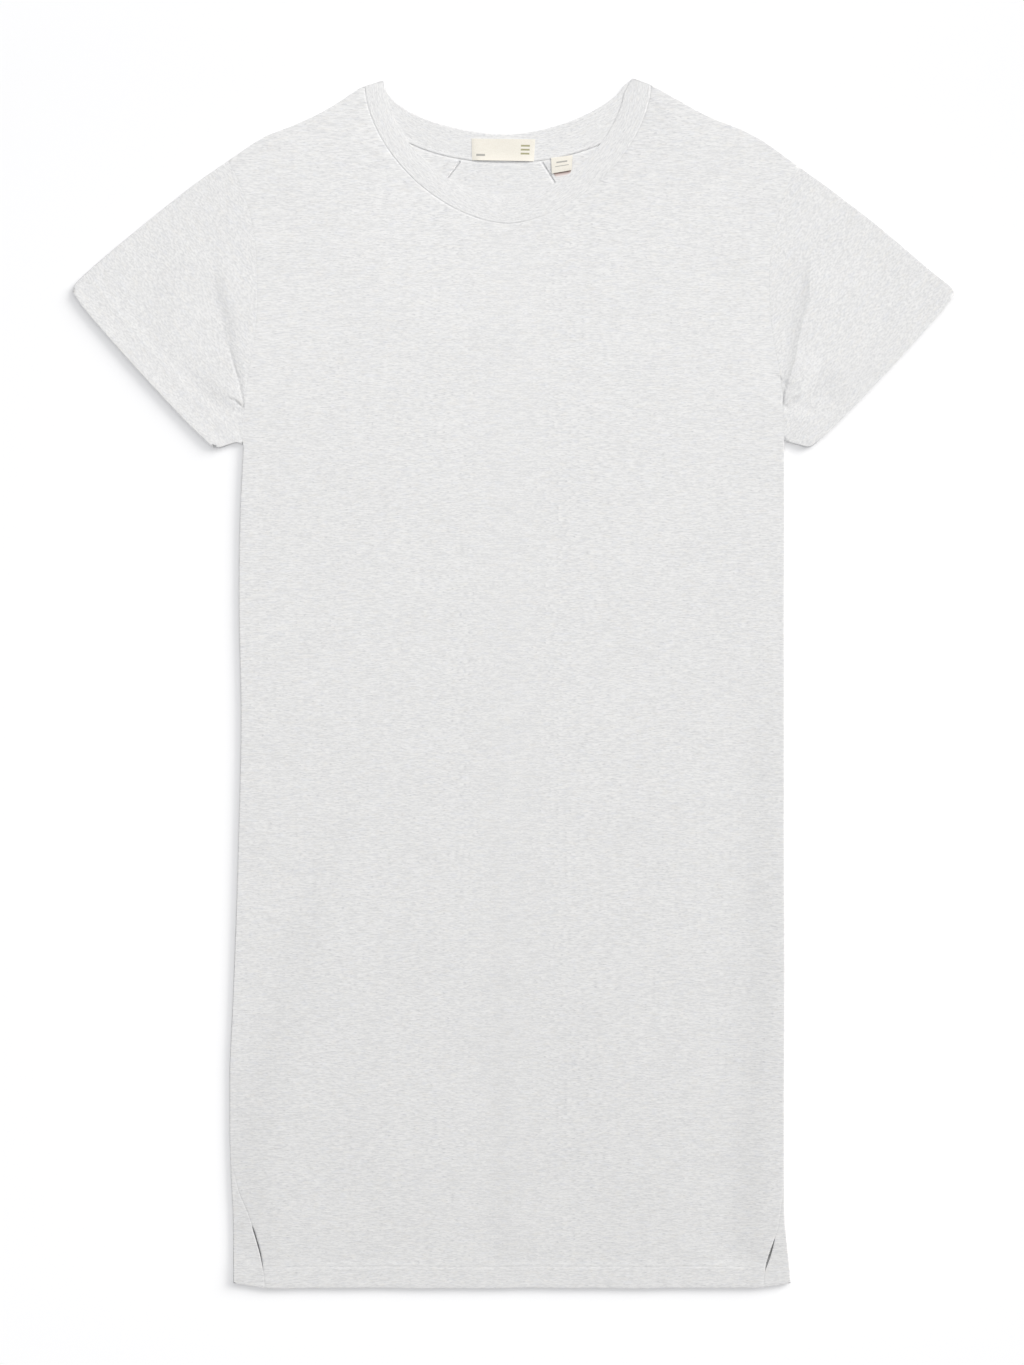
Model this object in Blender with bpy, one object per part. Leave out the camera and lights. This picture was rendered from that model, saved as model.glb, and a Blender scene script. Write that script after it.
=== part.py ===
# T-shirt dress laid flat on its back: front and back panels, two set-in sleeves, a neckband
# folded over at the shoulders, two back neck darts and two labels. Metres, +Z up, neck towards
# +Y, origin at the middle of the underside. Left and right are the wearer's, so left is at +X.
import math
from collections import namedtuple

import bmesh
import bpy
import numpy as np

# Cloth
JERSEY = 0.0010
TURNED_HEM = 0.0017
BAND_CLOTH = 0.0014
LABEL_CLOTH = 0.0010
SEAM_GAP = 0.0003
HALF_GAP = SEAM_GAP / 2
FOLD_HEIGHT = 0.0040
FOLD_RADIUS = FOLD_HEIGHT / 2
QUARTER_ROLL = FOLD_RADIUS * math.pi / 2
OFF_WHITE = (0.80, 0.80, 0.79)
CREAM = (0.82, 0.78, 0.68)

# Body
HEM_LEVEL = -0.4598
HEM_DEPTH = 0.020
UNDERARM_LEVEL = 0.2151
CORNER_LIFT = 0.0036
CORNER_REACH = 0.026

# Neck
NECK_RIGHT_SEAM = (-0.1173, 0.4521)
NECK_LEFT_SEAM = (0.1047, 0.4551)
BAND_RIGHT_PEAK = (-0.0990, 0.4579)
BAND_LEFT_PEAK = (0.0908, 0.4598)
NECK_CENTRE_X = -0.0063
BAND_EDGE_LEVEL = 0.4579
BAND_EDGE_HALF_WIDTH = 0.0920
Neckline = namedtuple("Neckline", "depth power")
FRONT_SEAM = Neckline(depth=0.1032, power=1.70)
BACK_SEAM = Neckline(depth=0.0583, power=1.90)
FRONT_EDGE = Neckline(depth=0.0884, power=1.75)
BACK_EDGE = Neckline(depth=0.0421, power=1.80)

# Labels and darts on the inside of the back
MAIN_LABEL_CORNERS = ((-0.0314, 0.3977), (0.0157, 0.3969), (0.0167, 0.4137), (-0.0318, 0.4142))
SIZE_LABEL_CORNERS = ((0.0294, 0.3875), (0.0444, 0.3901), (0.0451, 0.4012), (0.0287, 0.3992))
DART_LENGTH = 0.055
DART_WIDTH = 0.008
DART_TIP = 0.001

Point = namedtuple("Point", "x y")

# Where each dart's folded edge leaves the neck seam, and the ways along that edge and along the
# seam
Dart = namedtuple("Dart", "start way seam_way")
RIGHT_DART = Dart(start=Point(x=-0.0410, y=0.3970), way=Point(x=-0.60, y=-0.80),
                  seam_way=Point(x=-0.98, y=0.20))
LEFT_DART = Dart(start=Point(x=0.0225, y=0.3972), way=Point(x=0.53, y=-0.85),
                 seam_way=Point(x=0.98, y=0.20))

# Half-widths of the body where it is folded at the side seams
Section = namedtuple("Section", "level right left")
BODY_SECTIONS = (
    Section(level=-0.460, right=-0.2130, left=0.2110),
    Section(level=-0.445, right=-0.2130, left=0.2101),
    Section(level=-0.430, right=-0.2130, left=0.2086),
    Section(level=-0.408, right=-0.2130, left=0.2065),
    Section(level=-0.375, right=-0.2143, left=0.2060),
    Section(level=-0.294, right=-0.2153, left=0.2061),
    Section(level=-0.246, right=-0.2133, left=0.2063),
    Section(level=-0.191, right=-0.2114, left=0.2063),
    Section(level=-0.119, right=-0.2091, left=0.2059),
    Section(level=-0.026, right=-0.2072, left=0.2055),
    Section(level=0.063, right=-0.2087, left=0.2055),
    Section(level=0.138, right=-0.2075, left=0.2059),
    Section(level=0.177, right=-0.2056, left=0.2060),
    Section(level=0.216, right=-0.2047, left=0.2050),
)

# How far each side seam, and the vent below it, lies in from the folded edge, and how far the
# vent gapes
Seam = namedtuple("Seam", "level right left right_gape left_gape")
SIDE_SEAMS = (
    Seam(level=-0.460, right=0.0243, left=0.0212, right_gape=0.0006, left_gape=0.0010),
    Seam(level=-0.447, right=0.0230, left=0.0190, right_gape=0.0008, left_gape=0.0018),
    Seam(level=-0.434, right=0.0208, left=0.0139, right_gape=0.0012, left_gape=0.0022),
    Seam(level=-0.422, right=0.0175, left=0.0090, right_gape=0.0010, left_gape=0.0012),
    Seam(level=-0.413, right=0.0148, left=0.0055, right_gape=0.0003, left_gape=0.0003),
    Seam(level=-0.400, right=0.0105, left=0.0030, right_gape=0.0003, left_gape=0.0003),
    Seam(level=-0.388, right=0.0059, left=0.0010, right_gape=0.0003, left_gape=0.0003),
    Seam(level=-0.375, right=0.0032, left=0.0000, right_gape=0.0003, left_gape=0.0003),
    Seam(level=-0.360, right=0.0000, left=0.0000, right_gape=0.0003, left_gape=0.0003),
    Seam(level=0.220, right=0.0000, left=0.0000, right_gape=0.0003, left_gape=0.0003),
)

# Armhole seams from the underarm up to the shoulder tip
RIGHT_ARMHOLE = (
    Point(x=-0.2047, y=0.2151),
    Point(x=-0.2007, y=0.2409),
    Point(x=-0.1978, y=0.2563),
    Point(x=-0.1953, y=0.2797),
    Point(x=-0.1949, y=0.3087),
    Point(x=-0.1968, y=0.3377),
    Point(x=-0.2027, y=0.3649),
    Point(x=-0.2104, y=0.3843),
    Point(x=-0.2172, y=0.3969),
)
LEFT_ARMHOLE = (
    Point(x=0.2050, y=0.2151),
    Point(x=0.2016, y=0.2409),
    Point(x=0.1978, y=0.2602),
    Point(x=0.1954, y=0.2797),
    Point(x=0.1943, y=0.3029),
    Point(x=0.1958, y=0.3281),
    Point(x=0.1997, y=0.3494),
    Point(x=0.2045, y=0.3688),
    Point(x=0.2103, y=0.3824),
    Point(x=0.2171, y=0.3930),
)

# Shoulder folds from the shoulder tip to the neckband
RIGHT_SHOULDER = (
    Point(x=-0.2172, y=0.3969),
    Point(x=-0.1891, y=0.4153),
    Point(x=-0.1697, y=0.4231),
    Point(x=-0.1484, y=0.4327),
    Point(x=-0.1328, y=0.4416),
    Point(x=-0.1173, y=0.4521),
)
LEFT_SHOULDER = (
    Point(x=0.2171, y=0.3930),
    Point(x=0.1900, y=0.4124),
    Point(x=0.1745, y=0.4207),
    Point(x=0.1493, y=0.4308),
    Point(x=0.1240, y=0.4444),
    Point(x=0.1047, y=0.4551),
)

# Sleeve folds from the shoulder tip to the cuff's upper corner, and the underarm folds from the
# body's side to the cuff's lower corner
RIGHT_SLEEVE_FOLD = (
    Point(x=-0.2172, y=0.3969),
    Point(x=-0.2434, y=0.3785),
    Point(x=-0.2921, y=0.3397),
    Point(x=-0.3151, y=0.3203),
    Point(x=-0.3330, y=0.3036),
    Point(x=-0.3355, y=0.2980),
)
LEFT_SLEEVE_FOLD = (
    Point(x=0.2171, y=0.3930),
    Point(x=0.2404, y=0.3764),
    Point(x=0.2791, y=0.3465),
    Point(x=0.3179, y=0.3135),
    Point(x=0.3332, y=0.3010),
    Point(x=0.3354, y=0.2955),
)
RIGHT_UNDERARM_FOLD = (
    Point(x=-0.2054, y=0.1809),
    Point(x=-0.2104, y=0.1826),
    Point(x=-0.2236, y=0.1786),
    Point(x=-0.2278, y=0.1788),
)
LEFT_UNDERARM_FOLD = (
    Point(x=0.2064, y=0.1836),
    Point(x=0.2171, y=0.1807),
    Point(x=0.2249, y=0.1792),
    Point(x=0.2307, y=0.1826),
)

# Soft ridges (height above 0) and troughs (below 0) of the upper layer, from one end to the other
Fold = namedtuple("Fold", "x y end_x end_y width height")
UPPER_FOLDS = (
    Fold(x=-0.2170, y=0.3330, end_x=-0.2110, end_y=0.2560, width=0.007, height=-0.0016),
    Fold(x=-0.2110, y=0.2560, end_x=-0.2060, end_y=0.2180, width=0.006, height=-0.0014),
    Fold(x=-0.2330, y=0.3250, end_x=-0.2250, end_y=0.2450, width=0.012, height=0.0018),
    Fold(x=-0.2260, y=0.2200, end_x=-0.2090, end_y=0.2080, width=0.006, height=-0.0012),
    Fold(x=0.2250, y=0.3180, end_x=0.2150, end_y=0.2550, width=0.007, height=-0.0016),
    Fold(x=0.2150, y=0.2550, end_x=0.2060, end_y=0.2180, width=0.006, height=-0.0014),
    Fold(x=0.2370, y=0.3150, end_x=0.2280, end_y=0.2450, width=0.012, height=0.0018),
    Fold(x=0.2310, y=0.2270, end_x=0.2090, end_y=0.2080, width=0.006, height=-0.0012),
    Fold(x=-0.0130, y=-0.1200, end_x=-0.0130, end_y=-0.4150, width=0.016, height=-0.0010),
    Fold(x=0.1700, y=0.0700, end_x=0.1700, end_y=-0.4050, width=0.018, height=-0.0009),
    Fold(x=-0.1200, y=-0.1030, end_x=-0.2030, end_y=-0.2620, width=0.016, height=-0.0009),
    Fold(x=0.0650, y=-0.1500, end_x=0.0800, end_y=-0.4200, width=0.030, height=0.0011),
    Fold(x=-0.1000, y=-0.2300, end_x=-0.1150, end_y=-0.4250, width=0.032, height=0.0010),
    Fold(x=-0.0600, y=0.2400, end_x=-0.1100, end_y=0.0600, width=0.045, height=0.0007),
    Fold(x=0.0700, y=0.2500, end_x=0.1000, end_y=0.0200, width=0.045, height=0.0006),
)
RIM_REACH = 0.020
LOWEST_UPPER = 2 * JERSEY + SEAM_GAP + 0.0001

# How far in from a cut edge the fine columns reach, half the step where a hem's cloth turns thick,
# and how far below the underarm the body's last rows lie
EDGE_REACH = 0.002
HEM_STEP = 0.001
CUFF_EDGE = 0.005
BELOW_UNDERARM = (0.036, 0.018, 0.0)
UNDERARM_ROOM = 0.055

# Lengths, or shares of a length, over which the rows turn from one edge's direction to another's
SHOULDER_BLEND = 0.03
SLEEVE_BLEND = 0.3

# Corner between a shoulder fold and the neckline: the neckline's first angle, how far down its
# rows take to square up, how much they turn outwards a step and which way the neckline leaves
CORNER_ANGLE = 0.1
CORNER_FADE = 0.0023
CORNER_TURN = 0.03
NECK_WAY = (0.0, -1.0)

# Mesh counts
CURVE_STEPS = 12
OUTLINE_STEPS = 6
OUTLINE_LEVELS = 60
EVEN_ROUNDS = 400
EVEN_PACE = 0.7
FRONT_SHOULDER_STEPS = 5
FRONT_NECK_STEPS = 14
FRONT_EDGE_STEPS = 3
BACK_SHOULDER_STEPS = 4
BACK_NECK_STEPS = 12
BACK_EDGE_STEPS = 5
SHOULDER_ROLL_STEPS = 3
SIDE_ROWS = 9
ARMHOLE_ROWS = 9
SLEEVE_RINGS = 6
BESIDE_STEPS = 3
HALF_ROLL_STEPS = 2
BAND_STEPS = 2
DART_ROWS = 3


def clear_scene():
    for obj in list(bpy.data.objects):
        bpy.data.objects.remove(obj, do_unlink=True)


def smooth_step(value):
    value = np.clip(value, 0.0, 1.0)
    return value * value * (3.0 - 2.0 * value)


def unit(vector):
    vector = np.asarray(vector, dtype=float)
    return vector / np.linalg.norm(vector)


def lerp(start, end, share):
    return np.asarray(start) * (1.0 - share) + np.asarray(end) * share


# A smooth curve through the given points, as a dense polyline
def smooth_curve(points, steps=CURVE_STEPS):
    knots = np.array([(p[0], p[1]) for p in points], dtype=float)
    ends = np.vstack([2 * knots[0] - knots[1], knots, 2 * knots[-1] - knots[-2]])
    curve = []
    for i in range(1, len(ends) - 2):
        before, start, end, after = ends[i - 1:i + 3]
        reach = np.linalg.norm(end - start)
        leave = unit(end - before) * reach
        arrive = unit(after - start) * reach
        for t in np.arange(steps) / steps:
            curve.append((2 * t**3 - 3 * t**2 + 1) * start + (t**3 - 2 * t**2 + t) * leave
                         + (3 * t**2 - 2 * t**3) * end + (t**3 - t**2) * arrive)
    curve.append(knots[-1])
    return np.array(curve)


def curve_length(curve):
    return np.linalg.norm(np.diff(curve, axis=0), axis=1).sum()


# Points on a polyline at the given distances from its start
def at_distances(curve, distances):
    lengths = np.concatenate([[0.0], np.cumsum(np.linalg.norm(np.diff(curve, axis=0), axis=1))])
    return np.stack([np.interp(distances, lengths, curve[:, 0]),
                     np.interp(distances, lengths, curve[:, 1])], axis=-1)


def at_shares(curve, shares):
    return at_distances(curve, np.asarray(shares) * curve_length(curve))


# In-plane directions square to a row of points, turned towards the given point
def square_to(points, towards):
    tangents = np.gradient(points, axis=0)
    normals = np.stack([-tangents[:, 1], tangents[:, 0]], axis=-1)
    normals /= np.linalg.norm(normals, axis=1, keepdims=True)
    flip = np.sign(((np.asarray(towards) - points) * normals).sum(axis=1))
    return normals * flip[:, None]


# A column of a table at the given level, eased between its rows
def table_value(table, column, level):
    levels = np.array([row.level for row in table])
    values = np.array([getattr(row, column) for row in table])
    slopes = np.gradient(values, levels)
    i = int(np.clip(np.searchsorted(levels, level) - 1, 0, len(levels) - 2))
    span = levels[i + 1] - levels[i]
    t = min(max((level - levels[i]) / span, 0.0), 1.0)
    value = ((2 * t**3 - 3 * t**2 + 1) * values[i] + (t**3 - 2 * t**2 + t) * span * slopes[i]
             + (3 * t**2 - 2 * t**3) * values[i + 1] + (t**3 - t**2) * span * slopes[i + 1])
    return min(max(value, min(values[i], values[i + 1])), max(values[i], values[i + 1]))


def body_edge(side, level):
    return table_value(BODY_SECTIONS, side, level)


# Rounded neckline from the wearer's right to the left: angle 0 at the right shoulder, pi at the
# left one. Its ends sit at the given points.
def neck_curve(neckline, right_end, left_end, angles):
    centre_x = (right_end[0] + left_end[0]) / 2
    half_width = (left_end[0] - right_end[0]) / 2
    cos = np.cos(angles)
    sin = np.clip(np.sin(angles), 0.0, 1.0)
    across = -np.sign(cos) * np.abs(cos) ** (2 / neckline.power)
    down = sin ** (2 / neckline.power)
    x = centre_x + half_width * across
    level = lerp(right_end[1], left_end[1], (across + 1) / 2)
    return np.stack([x, level - neckline.depth * down], axis=-1)


def seam_curve(neckline, angles):
    return neck_curve(neckline, NECK_RIGHT_SEAM, NECK_LEFT_SEAM, angles)


def edge_curve(neckline, angles):
    right_end = (NECK_CENTRE_X - BAND_EDGE_HALF_WIDTH, BAND_EDGE_LEVEL)
    left_end = (NECK_CENTRE_X + BAND_EDGE_HALF_WIDTH, BAND_EDGE_LEVEL)
    return neck_curve(neckline, right_end, left_end, angles)


# The folded outline, where the upper layer comes down to meet the lower one
def folded_outline():
    paths = []
    for side in ("right", "left"):
        levels = np.linspace(HEM_LEVEL, UNDERARM_LEVEL, OUTLINE_LEVELS)
        paths.append(np.array([(body_edge(side, level), level) for level in levels]))
    for points in (RIGHT_SHOULDER, LEFT_SHOULDER, RIGHT_SLEEVE_FOLD, LEFT_SLEEVE_FOLD,
                   RIGHT_UNDERARM_FOLD, LEFT_UNDERARM_FOLD,
                   (NECK_RIGHT_SEAM, BAND_RIGHT_PEAK), (NECK_LEFT_SEAM, BAND_LEFT_PEAK)):
        paths.append(smooth_curve(points, steps=OUTLINE_STEPS))
    starts = np.vstack([path[:-1] for path in paths])
    ends = np.vstack([path[1:] for path in paths])
    return starts, ends


def distance_to_segments(points, starts, ends):
    along = ends - starts
    offset = points[:, None, :] - starts[None, :, :]
    share = (offset * along).sum(-1) / np.maximum((along * along).sum(-1), 1e-12)
    share = np.clip(share, 0.0, 1.0)
    gap = offset - share[..., None] * along
    return np.linalg.norm(gap, axis=-1).min(axis=1)


OUTLINE_STARTS, OUTLINE_ENDS = folded_outline()


# Height of the upper layer's outside at in-plane points of any array shape
def upper_height(points):
    flat = np.asarray(points, dtype=float).reshape(-1, 2)
    rise = np.zeros(len(flat))
    for fold in UPPER_FOLDS:
        start = np.array([(fold.x, fold.y)])
        end = np.array([(fold.end_x, fold.end_y)])
        away = distance_to_segments(flat, start, end) / fold.width
        rise += fold.height * np.exp(-away * away)
    rim = smooth_step(distance_to_segments(flat, OUTLINE_STARTS, OUTLINE_ENDS) / RIM_REACH)
    height = np.maximum(FOLD_HEIGHT + rise * rim, LOWEST_UPPER)
    return height.reshape(np.asarray(points).shape[:-1])


# Four-sided patch between a bottom and a top row and two side rows that share its corners. Its
# rows sit at the given shares of the way up.
def patch(bottom, top, first_side, last_side, shares):
    u = np.linspace(0.0, 1.0, len(bottom))[None, :, None]
    v = np.asarray(shares)[:, None, None]
    across = (1 - v) * bottom[None] + v * top[None]
    upward = (1 - u) * first_side[:, None] + u * last_side[:, None]
    corners = ((1 - u) * (1 - v) * bottom[0] + u * (1 - v) * bottom[-1]
               + (1 - u) * v * top[0] + u * v * top[-1])
    return across + upward - corners


# Moves a patch's inner points until its rows and columns run evenly and no cell folds over
def even_out(grid):
    for _ in range(EVEN_ROUNDS):
        across = (grid[1:-1, 2:] - grid[1:-1, :-2]) / 2
        upward = (grid[2:, 1:-1] - grid[:-2, 1:-1]) / 2
        skew = (grid[2:, 2:] - grid[2:, :-2] - grid[:-2, 2:] + grid[:-2, :-2]) / 4
        alpha = (upward * upward).sum(-1, keepdims=True)
        gamma = (across * across).sum(-1, keepdims=True)
        beta = (across * upward).sum(-1, keepdims=True)
        beside = grid[1:-1, 2:] + grid[1:-1, :-2]
        above = grid[2:, 1:-1] + grid[:-2, 1:-1]
        evened = (alpha * beside + gamma * above - 2 * beta * skew) / (2 * (alpha + gamma))
        grid[1:-1, 1:-1] = lerp(grid[1:-1, 1:-1], evened, EVEN_PACE)
    return grid


# A point of a folded edge: distance over the surface from the fold's middle height, positive
# over the upper layer and negative under the lower one. Gives its position and outward normal.
def fold_point(edge, inward, distance):
    turn = min(abs(distance) / FOLD_RADIUS, math.pi / 2)
    over = math.copysign(1.0, distance)
    inset = FOLD_RADIUS * (1 - math.cos(turn)) + max(abs(distance) - QUARTER_ROLL, 0.0)
    place = np.asarray(edge) + np.asarray(inward) * inset
    height = FOLD_RADIUS + over * FOLD_RADIUS * math.sin(turn)
    if distance >= QUARTER_ROLL:
        height = float(upper_height(place))
    outward = -np.asarray(inward) * math.cos(turn)
    return (place[0], place[1], height), (outward[0], outward[1], over * math.sin(turn))


# A closed solid between an outer grid of points and the same grid moved inwards by the cloth's
# thickness. A ring joins its last row of the grid to its first.
def cloth_solid(name, outer, normals, thickness, color, ring=False):
    rows, columns = outer.shape[:2]
    inner = outer - normals * np.broadcast_to(thickness, (rows, columns))[..., None]
    count = rows * columns
    mesh = bpy.data.meshes.new(name)
    body = bmesh.new()
    verts = [body.verts.new(p) for p in np.vstack([outer.reshape(-1, 3), inner.reshape(-1, 3)])]

    def quad(a, b, c, d):
        body.faces.new([verts[i] for i in (a, b, c, d)])

    row_pairs = [(i, (i + 1) % rows) for i in range(rows if ring else rows - 1)]
    for i, k in row_pairs:
        for j in range(columns - 1):
            a, b = i * columns + j, i * columns + j + 1
            c, d = k * columns + j + 1, k * columns + j
            quad(a, b, c, d)
            quad(count + d, count + c, count + b, count + a)
    for i, k in row_pairs:
        for j in (0, columns - 1):
            a, b = i * columns + j, k * columns + j
            quad(a, b, count + b, count + a)
    if not ring:
        for i in (0, rows - 1):
            for j in range(columns - 1):
                a, b = i * columns + j, i * columns + j + 1
                quad(a, b, count + b, count + a)
    bmesh.ops.recalc_face_normals(body, faces=body.faces)
    bmesh.ops.triangulate(body, faces=body.faces)
    body.to_mesh(mesh)
    body.free()
    mesh.shade_smooth()
    mesh.set_sharp_from_angle(angle=math.radians(50))
    mesh.materials.append(cloth_material(name, color))
    obj = bpy.data.objects.new(name, mesh)
    bpy.context.scene.collection.objects.link(obj)
    return obj


def cloth_material(name, color):
    material = bpy.data.materials.new(name)
    material.use_nodes = True
    shader = material.node_tree.nodes["Principled BSDF"]
    shader.inputs["Base Color"].default_value = (*color, 1.0)
    shader.inputs["Roughness"].default_value = 0.92
    shader.inputs["Metallic"].default_value = 0.0
    return material


# Levels of the body's rows from hem to underarm, closer together at the hem and the vents
def body_levels():
    hem_top = HEM_LEVEL + HEM_DEPTH
    hem = [HEM_LEVEL, HEM_LEVEL + HEM_DEPTH / 2, hem_top - HEM_STEP, hem_top + HEM_STEP]
    vent = [seam.level for seam in SIDE_SEAMS if hem_top + HEM_STEP < seam.level < 0.0]
    side = list(np.linspace(vent[-1], UNDERARM_LEVEL - UNDERARM_ROOM, SIDE_ROWS + 1)[1:])
    underarm = [UNDERARM_LEVEL - below for below in BELOW_UNDERARM]
    return np.array(hem + vent + side + underarm)


# The hem rises a little towards its two corners
def hem_rise(x, level):
    from_edge = np.minimum(x - body_edge("right", level), body_edge("left", level) - x)
    lift = CORNER_LIFT * np.clip(1.0 - from_edge / CORNER_REACH, 0.0, 1.0)
    return lift * (1.0 - smooth_step((level - HEM_LEVEL) / HEM_DEPTH))


# Distance of the side seam over the surface from the fold's middle height
def seam_distance(side, level):
    inset = table_value(SIDE_SEAMS, side, level)
    if inset < FOLD_RADIUS:
        return FOLD_RADIUS * math.acos(1 - inset / FOLD_RADIUS)
    return QUARTER_ROLL + inset - FOLD_RADIUS


# Distances over the rolled side, from the front's cut edge to where it lies flat
def front_roll(side, level):
    start = seam_distance(side, level) + table_value(SIDE_SEAMS, side + "_gape", level) / 2
    return np.linspace(start, max(QUARTER_ROLL, start + EDGE_REACH), FRONT_EDGE_STEPS + 1)


# The same for the back, whose edge wraps round the fold beside the vents
def back_roll(side, level):
    start = seam_distance(side, level) - table_value(SIDE_SEAMS, side + "_gape", level) / 2
    even = np.linspace(start, -QUARTER_ROLL, BACK_EDGE_STEPS + 1)
    turned = np.linspace(QUARTER_ROLL, -QUARTER_ROLL, BACK_EDGE_STEPS)
    share = smooth_step((start - QUARTER_ROLL) / (2 * QUARTER_ROLL))
    return lerp(even, np.concatenate([[start], turned]), share)


# One row of a body panel from the wearer's right to the left, with its outward normals
def body_row(level, roll, inner_steps):
    right, left = ([fold_point((body_edge(side, level), level), inward, distance)
                    for distance in roll(side, level)]
                   for side, inward in (("right", (1.0, 0.0)), ("left", (-1.0, 0.0))))
    left.reverse()
    shares = np.linspace(0.0, 1.0, inner_steps + 1)[1:-1]
    middle = [(lerp(right[-1][0], left[0][0], share), right[-1][1]) for share in shares]
    places, normals = grid_row(right + middle + left)
    places[:, 1] += hem_rise(places[:, 0], level)
    if roll is front_roll:
        inside = slice(len(right), len(right) + len(middle))
        places[inside, 2] = upper_height(places[inside, :2])
    return places, normals


# An anchor is a point of the panel's cut edge along the top: its place, the way from it into the
# panel, how far round the fold it lies, from 0 at the middle height to a quarter roll, and how
# much farther than square to the edge its rows reach
Anchor = namedtuple("Anchor", "place way start reach")


# A shoulder's anchors from the armhole to the neck. The way in runs along the armhole at the
# tip, square to the fold in between and between the fold and the neckline at the end.
def shoulder_anchors(shoulder, armhole, insets, steps):
    curve = smooth_curve(shoulder)
    length = curve_length(curve)
    distances = np.concatenate([insets[:-1], np.linspace(insets[-1], length - HALF_GAP, steps + 1)])
    points = at_distances(curve, distances)
    tip_share = 1 - smooth_step(distances / SHOULDER_BLEND)[:, None]
    neck_share = 1 - smooth_step((length - distances) / SHOULDER_BLEND)[:, None]
    square = square_to(points, (0.0, 0.0)) * (1 - tip_share - neck_share)
    ways = square + armhole_end_way(armhole) * tip_share + corner_way(curve) * neck_share
    reaches = lerp(1.0, corner_reach(curve), neck_share[:, 0])
    return [Anchor(point, unit(way), HALF_GAP, reach)
            for point, way, reach in zip(points, ways, reaches)]


def armhole_end_way(armhole):
    curve = smooth_curve(armhole)
    return unit(curve[-CURVE_STEPS] - curve[-1])


def corner_way(shoulder_curve):
    return unit(unit(shoulder_curve[-CURVE_STEPS] - shoulder_curve[-1]) + np.array(NECK_WAY))


# Along the bisector of the corner an inset is longer than it is square to either edge
def corner_reach(shoulder_curve):
    return 1 / abs(corner_way(shoulder_curve)[0])


def neck_angles(steps):
    angles = np.linspace(0.0, math.pi, steps + 1)
    return np.concatenate([[CORNER_ANGLE], angles[1:-1], [math.pi - CORNER_ANGLE]])


# The neckline's in-plane points and the ways from them into the panel
def neck_points(neckline, angles):
    step = CORNER_ANGLE / 2
    tangents = seam_curve(neckline, angles + step) - seam_curve(neckline, angles - step)
    ways = np.stack([tangents[:, 1], -tangents[:, 0]], axis=-1)
    return seam_curve(neckline, angles), ways / np.linalg.norm(ways, axis=1, keepdims=True)


def roll_inset(distance):
    return FOLD_RADIUS * (1 - math.cos(distance / FOLD_RADIUS))


# The anchors where the neckline comes round the shoulder fold, from the fold downwards
def corner_anchors(seam_end, shoulder, outward):
    curve = smooth_curve(shoulder)
    anchors = []
    for step in range(1, HALF_ROLL_STEPS + 1):
        start = QUARTER_ROLL * step / HALF_ROLL_STEPS
        down = roll_inset(start)
        way = unit(lerp(corner_way(curve), (outward, 0.0), CORNER_TURN * step * step))
        reach = lerp(corner_reach(curve), 1.0, (down / CORNER_FADE) ** 2)
        place = np.array(seam_end) + np.array([outward * HALF_GAP, -down])
        anchors.append(Anchor(place, way, start, reach))
    return anchors


# The rows along the shoulders and the neckline, from where the panel lies flat to its cut edge
def top_rows(neckline, over, insets, shoulder_steps, neck_steps):
    points, ways = neck_points(neckline, neck_angles(neck_steps))
    neck = [Anchor(point + way * HALF_GAP, way, QUARTER_ROLL, 1.0)
            for point, way in zip(points, ways)]
    left_shoulder = shoulder_anchors(LEFT_SHOULDER, LEFT_ARMHOLE, insets, shoulder_steps)
    anchors = shoulder_anchors(RIGHT_SHOULDER, RIGHT_ARMHOLE, insets, shoulder_steps)
    anchors += corner_anchors(NECK_RIGHT_SEAM, RIGHT_SHOULDER, -1.0)
    anchors += neck
    anchors += corner_anchors(NECK_LEFT_SEAM, LEFT_SHOULDER, 1.0)[::-1]
    anchors += left_shoulder[::-1]
    rows = []
    for share in np.linspace(1.0, 0.0, SHOULDER_ROLL_STEPS + 1):
        rows.append(grid_row([anchor_point(anchor, share, over) for anchor in anchors]))
    return rows


# The point a share of the way from an anchor to where the panel lies flat
def anchor_point(anchor, share, over):
    distance = lerp(anchor.start, QUARTER_ROLL, share)
    flatness = anchor.start / QUARTER_ROLL
    rolled = roll_inset(distance) - roll_inset(anchor.start)
    inset = lerp(rolled, QUARTER_ROLL * share, flatness) * anchor.reach
    place = anchor.place + anchor.way * inset
    if distance >= QUARTER_ROLL:
        return flat_point(place, over)
    turn = distance / FOLD_RADIUS
    height = FOLD_RADIUS + over * FOLD_RADIUS * math.sin(turn)
    outward = -anchor.way * math.cos(turn)
    return (place[0], place[1], height), (outward[0], outward[1], over * math.sin(turn))


def grid_row(points):
    return np.array([place for place, _ in points]), np.array([normal for _, normal in points])


# A point of the upper layer's top (over = 1) or of the lower layer's underside (over = -1)
def flat_point(place, over):
    height = float(upper_height(place)) if over > 0 else 0.0
    return (place[0], place[1], height), (0.0, 0.0, over)


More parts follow.
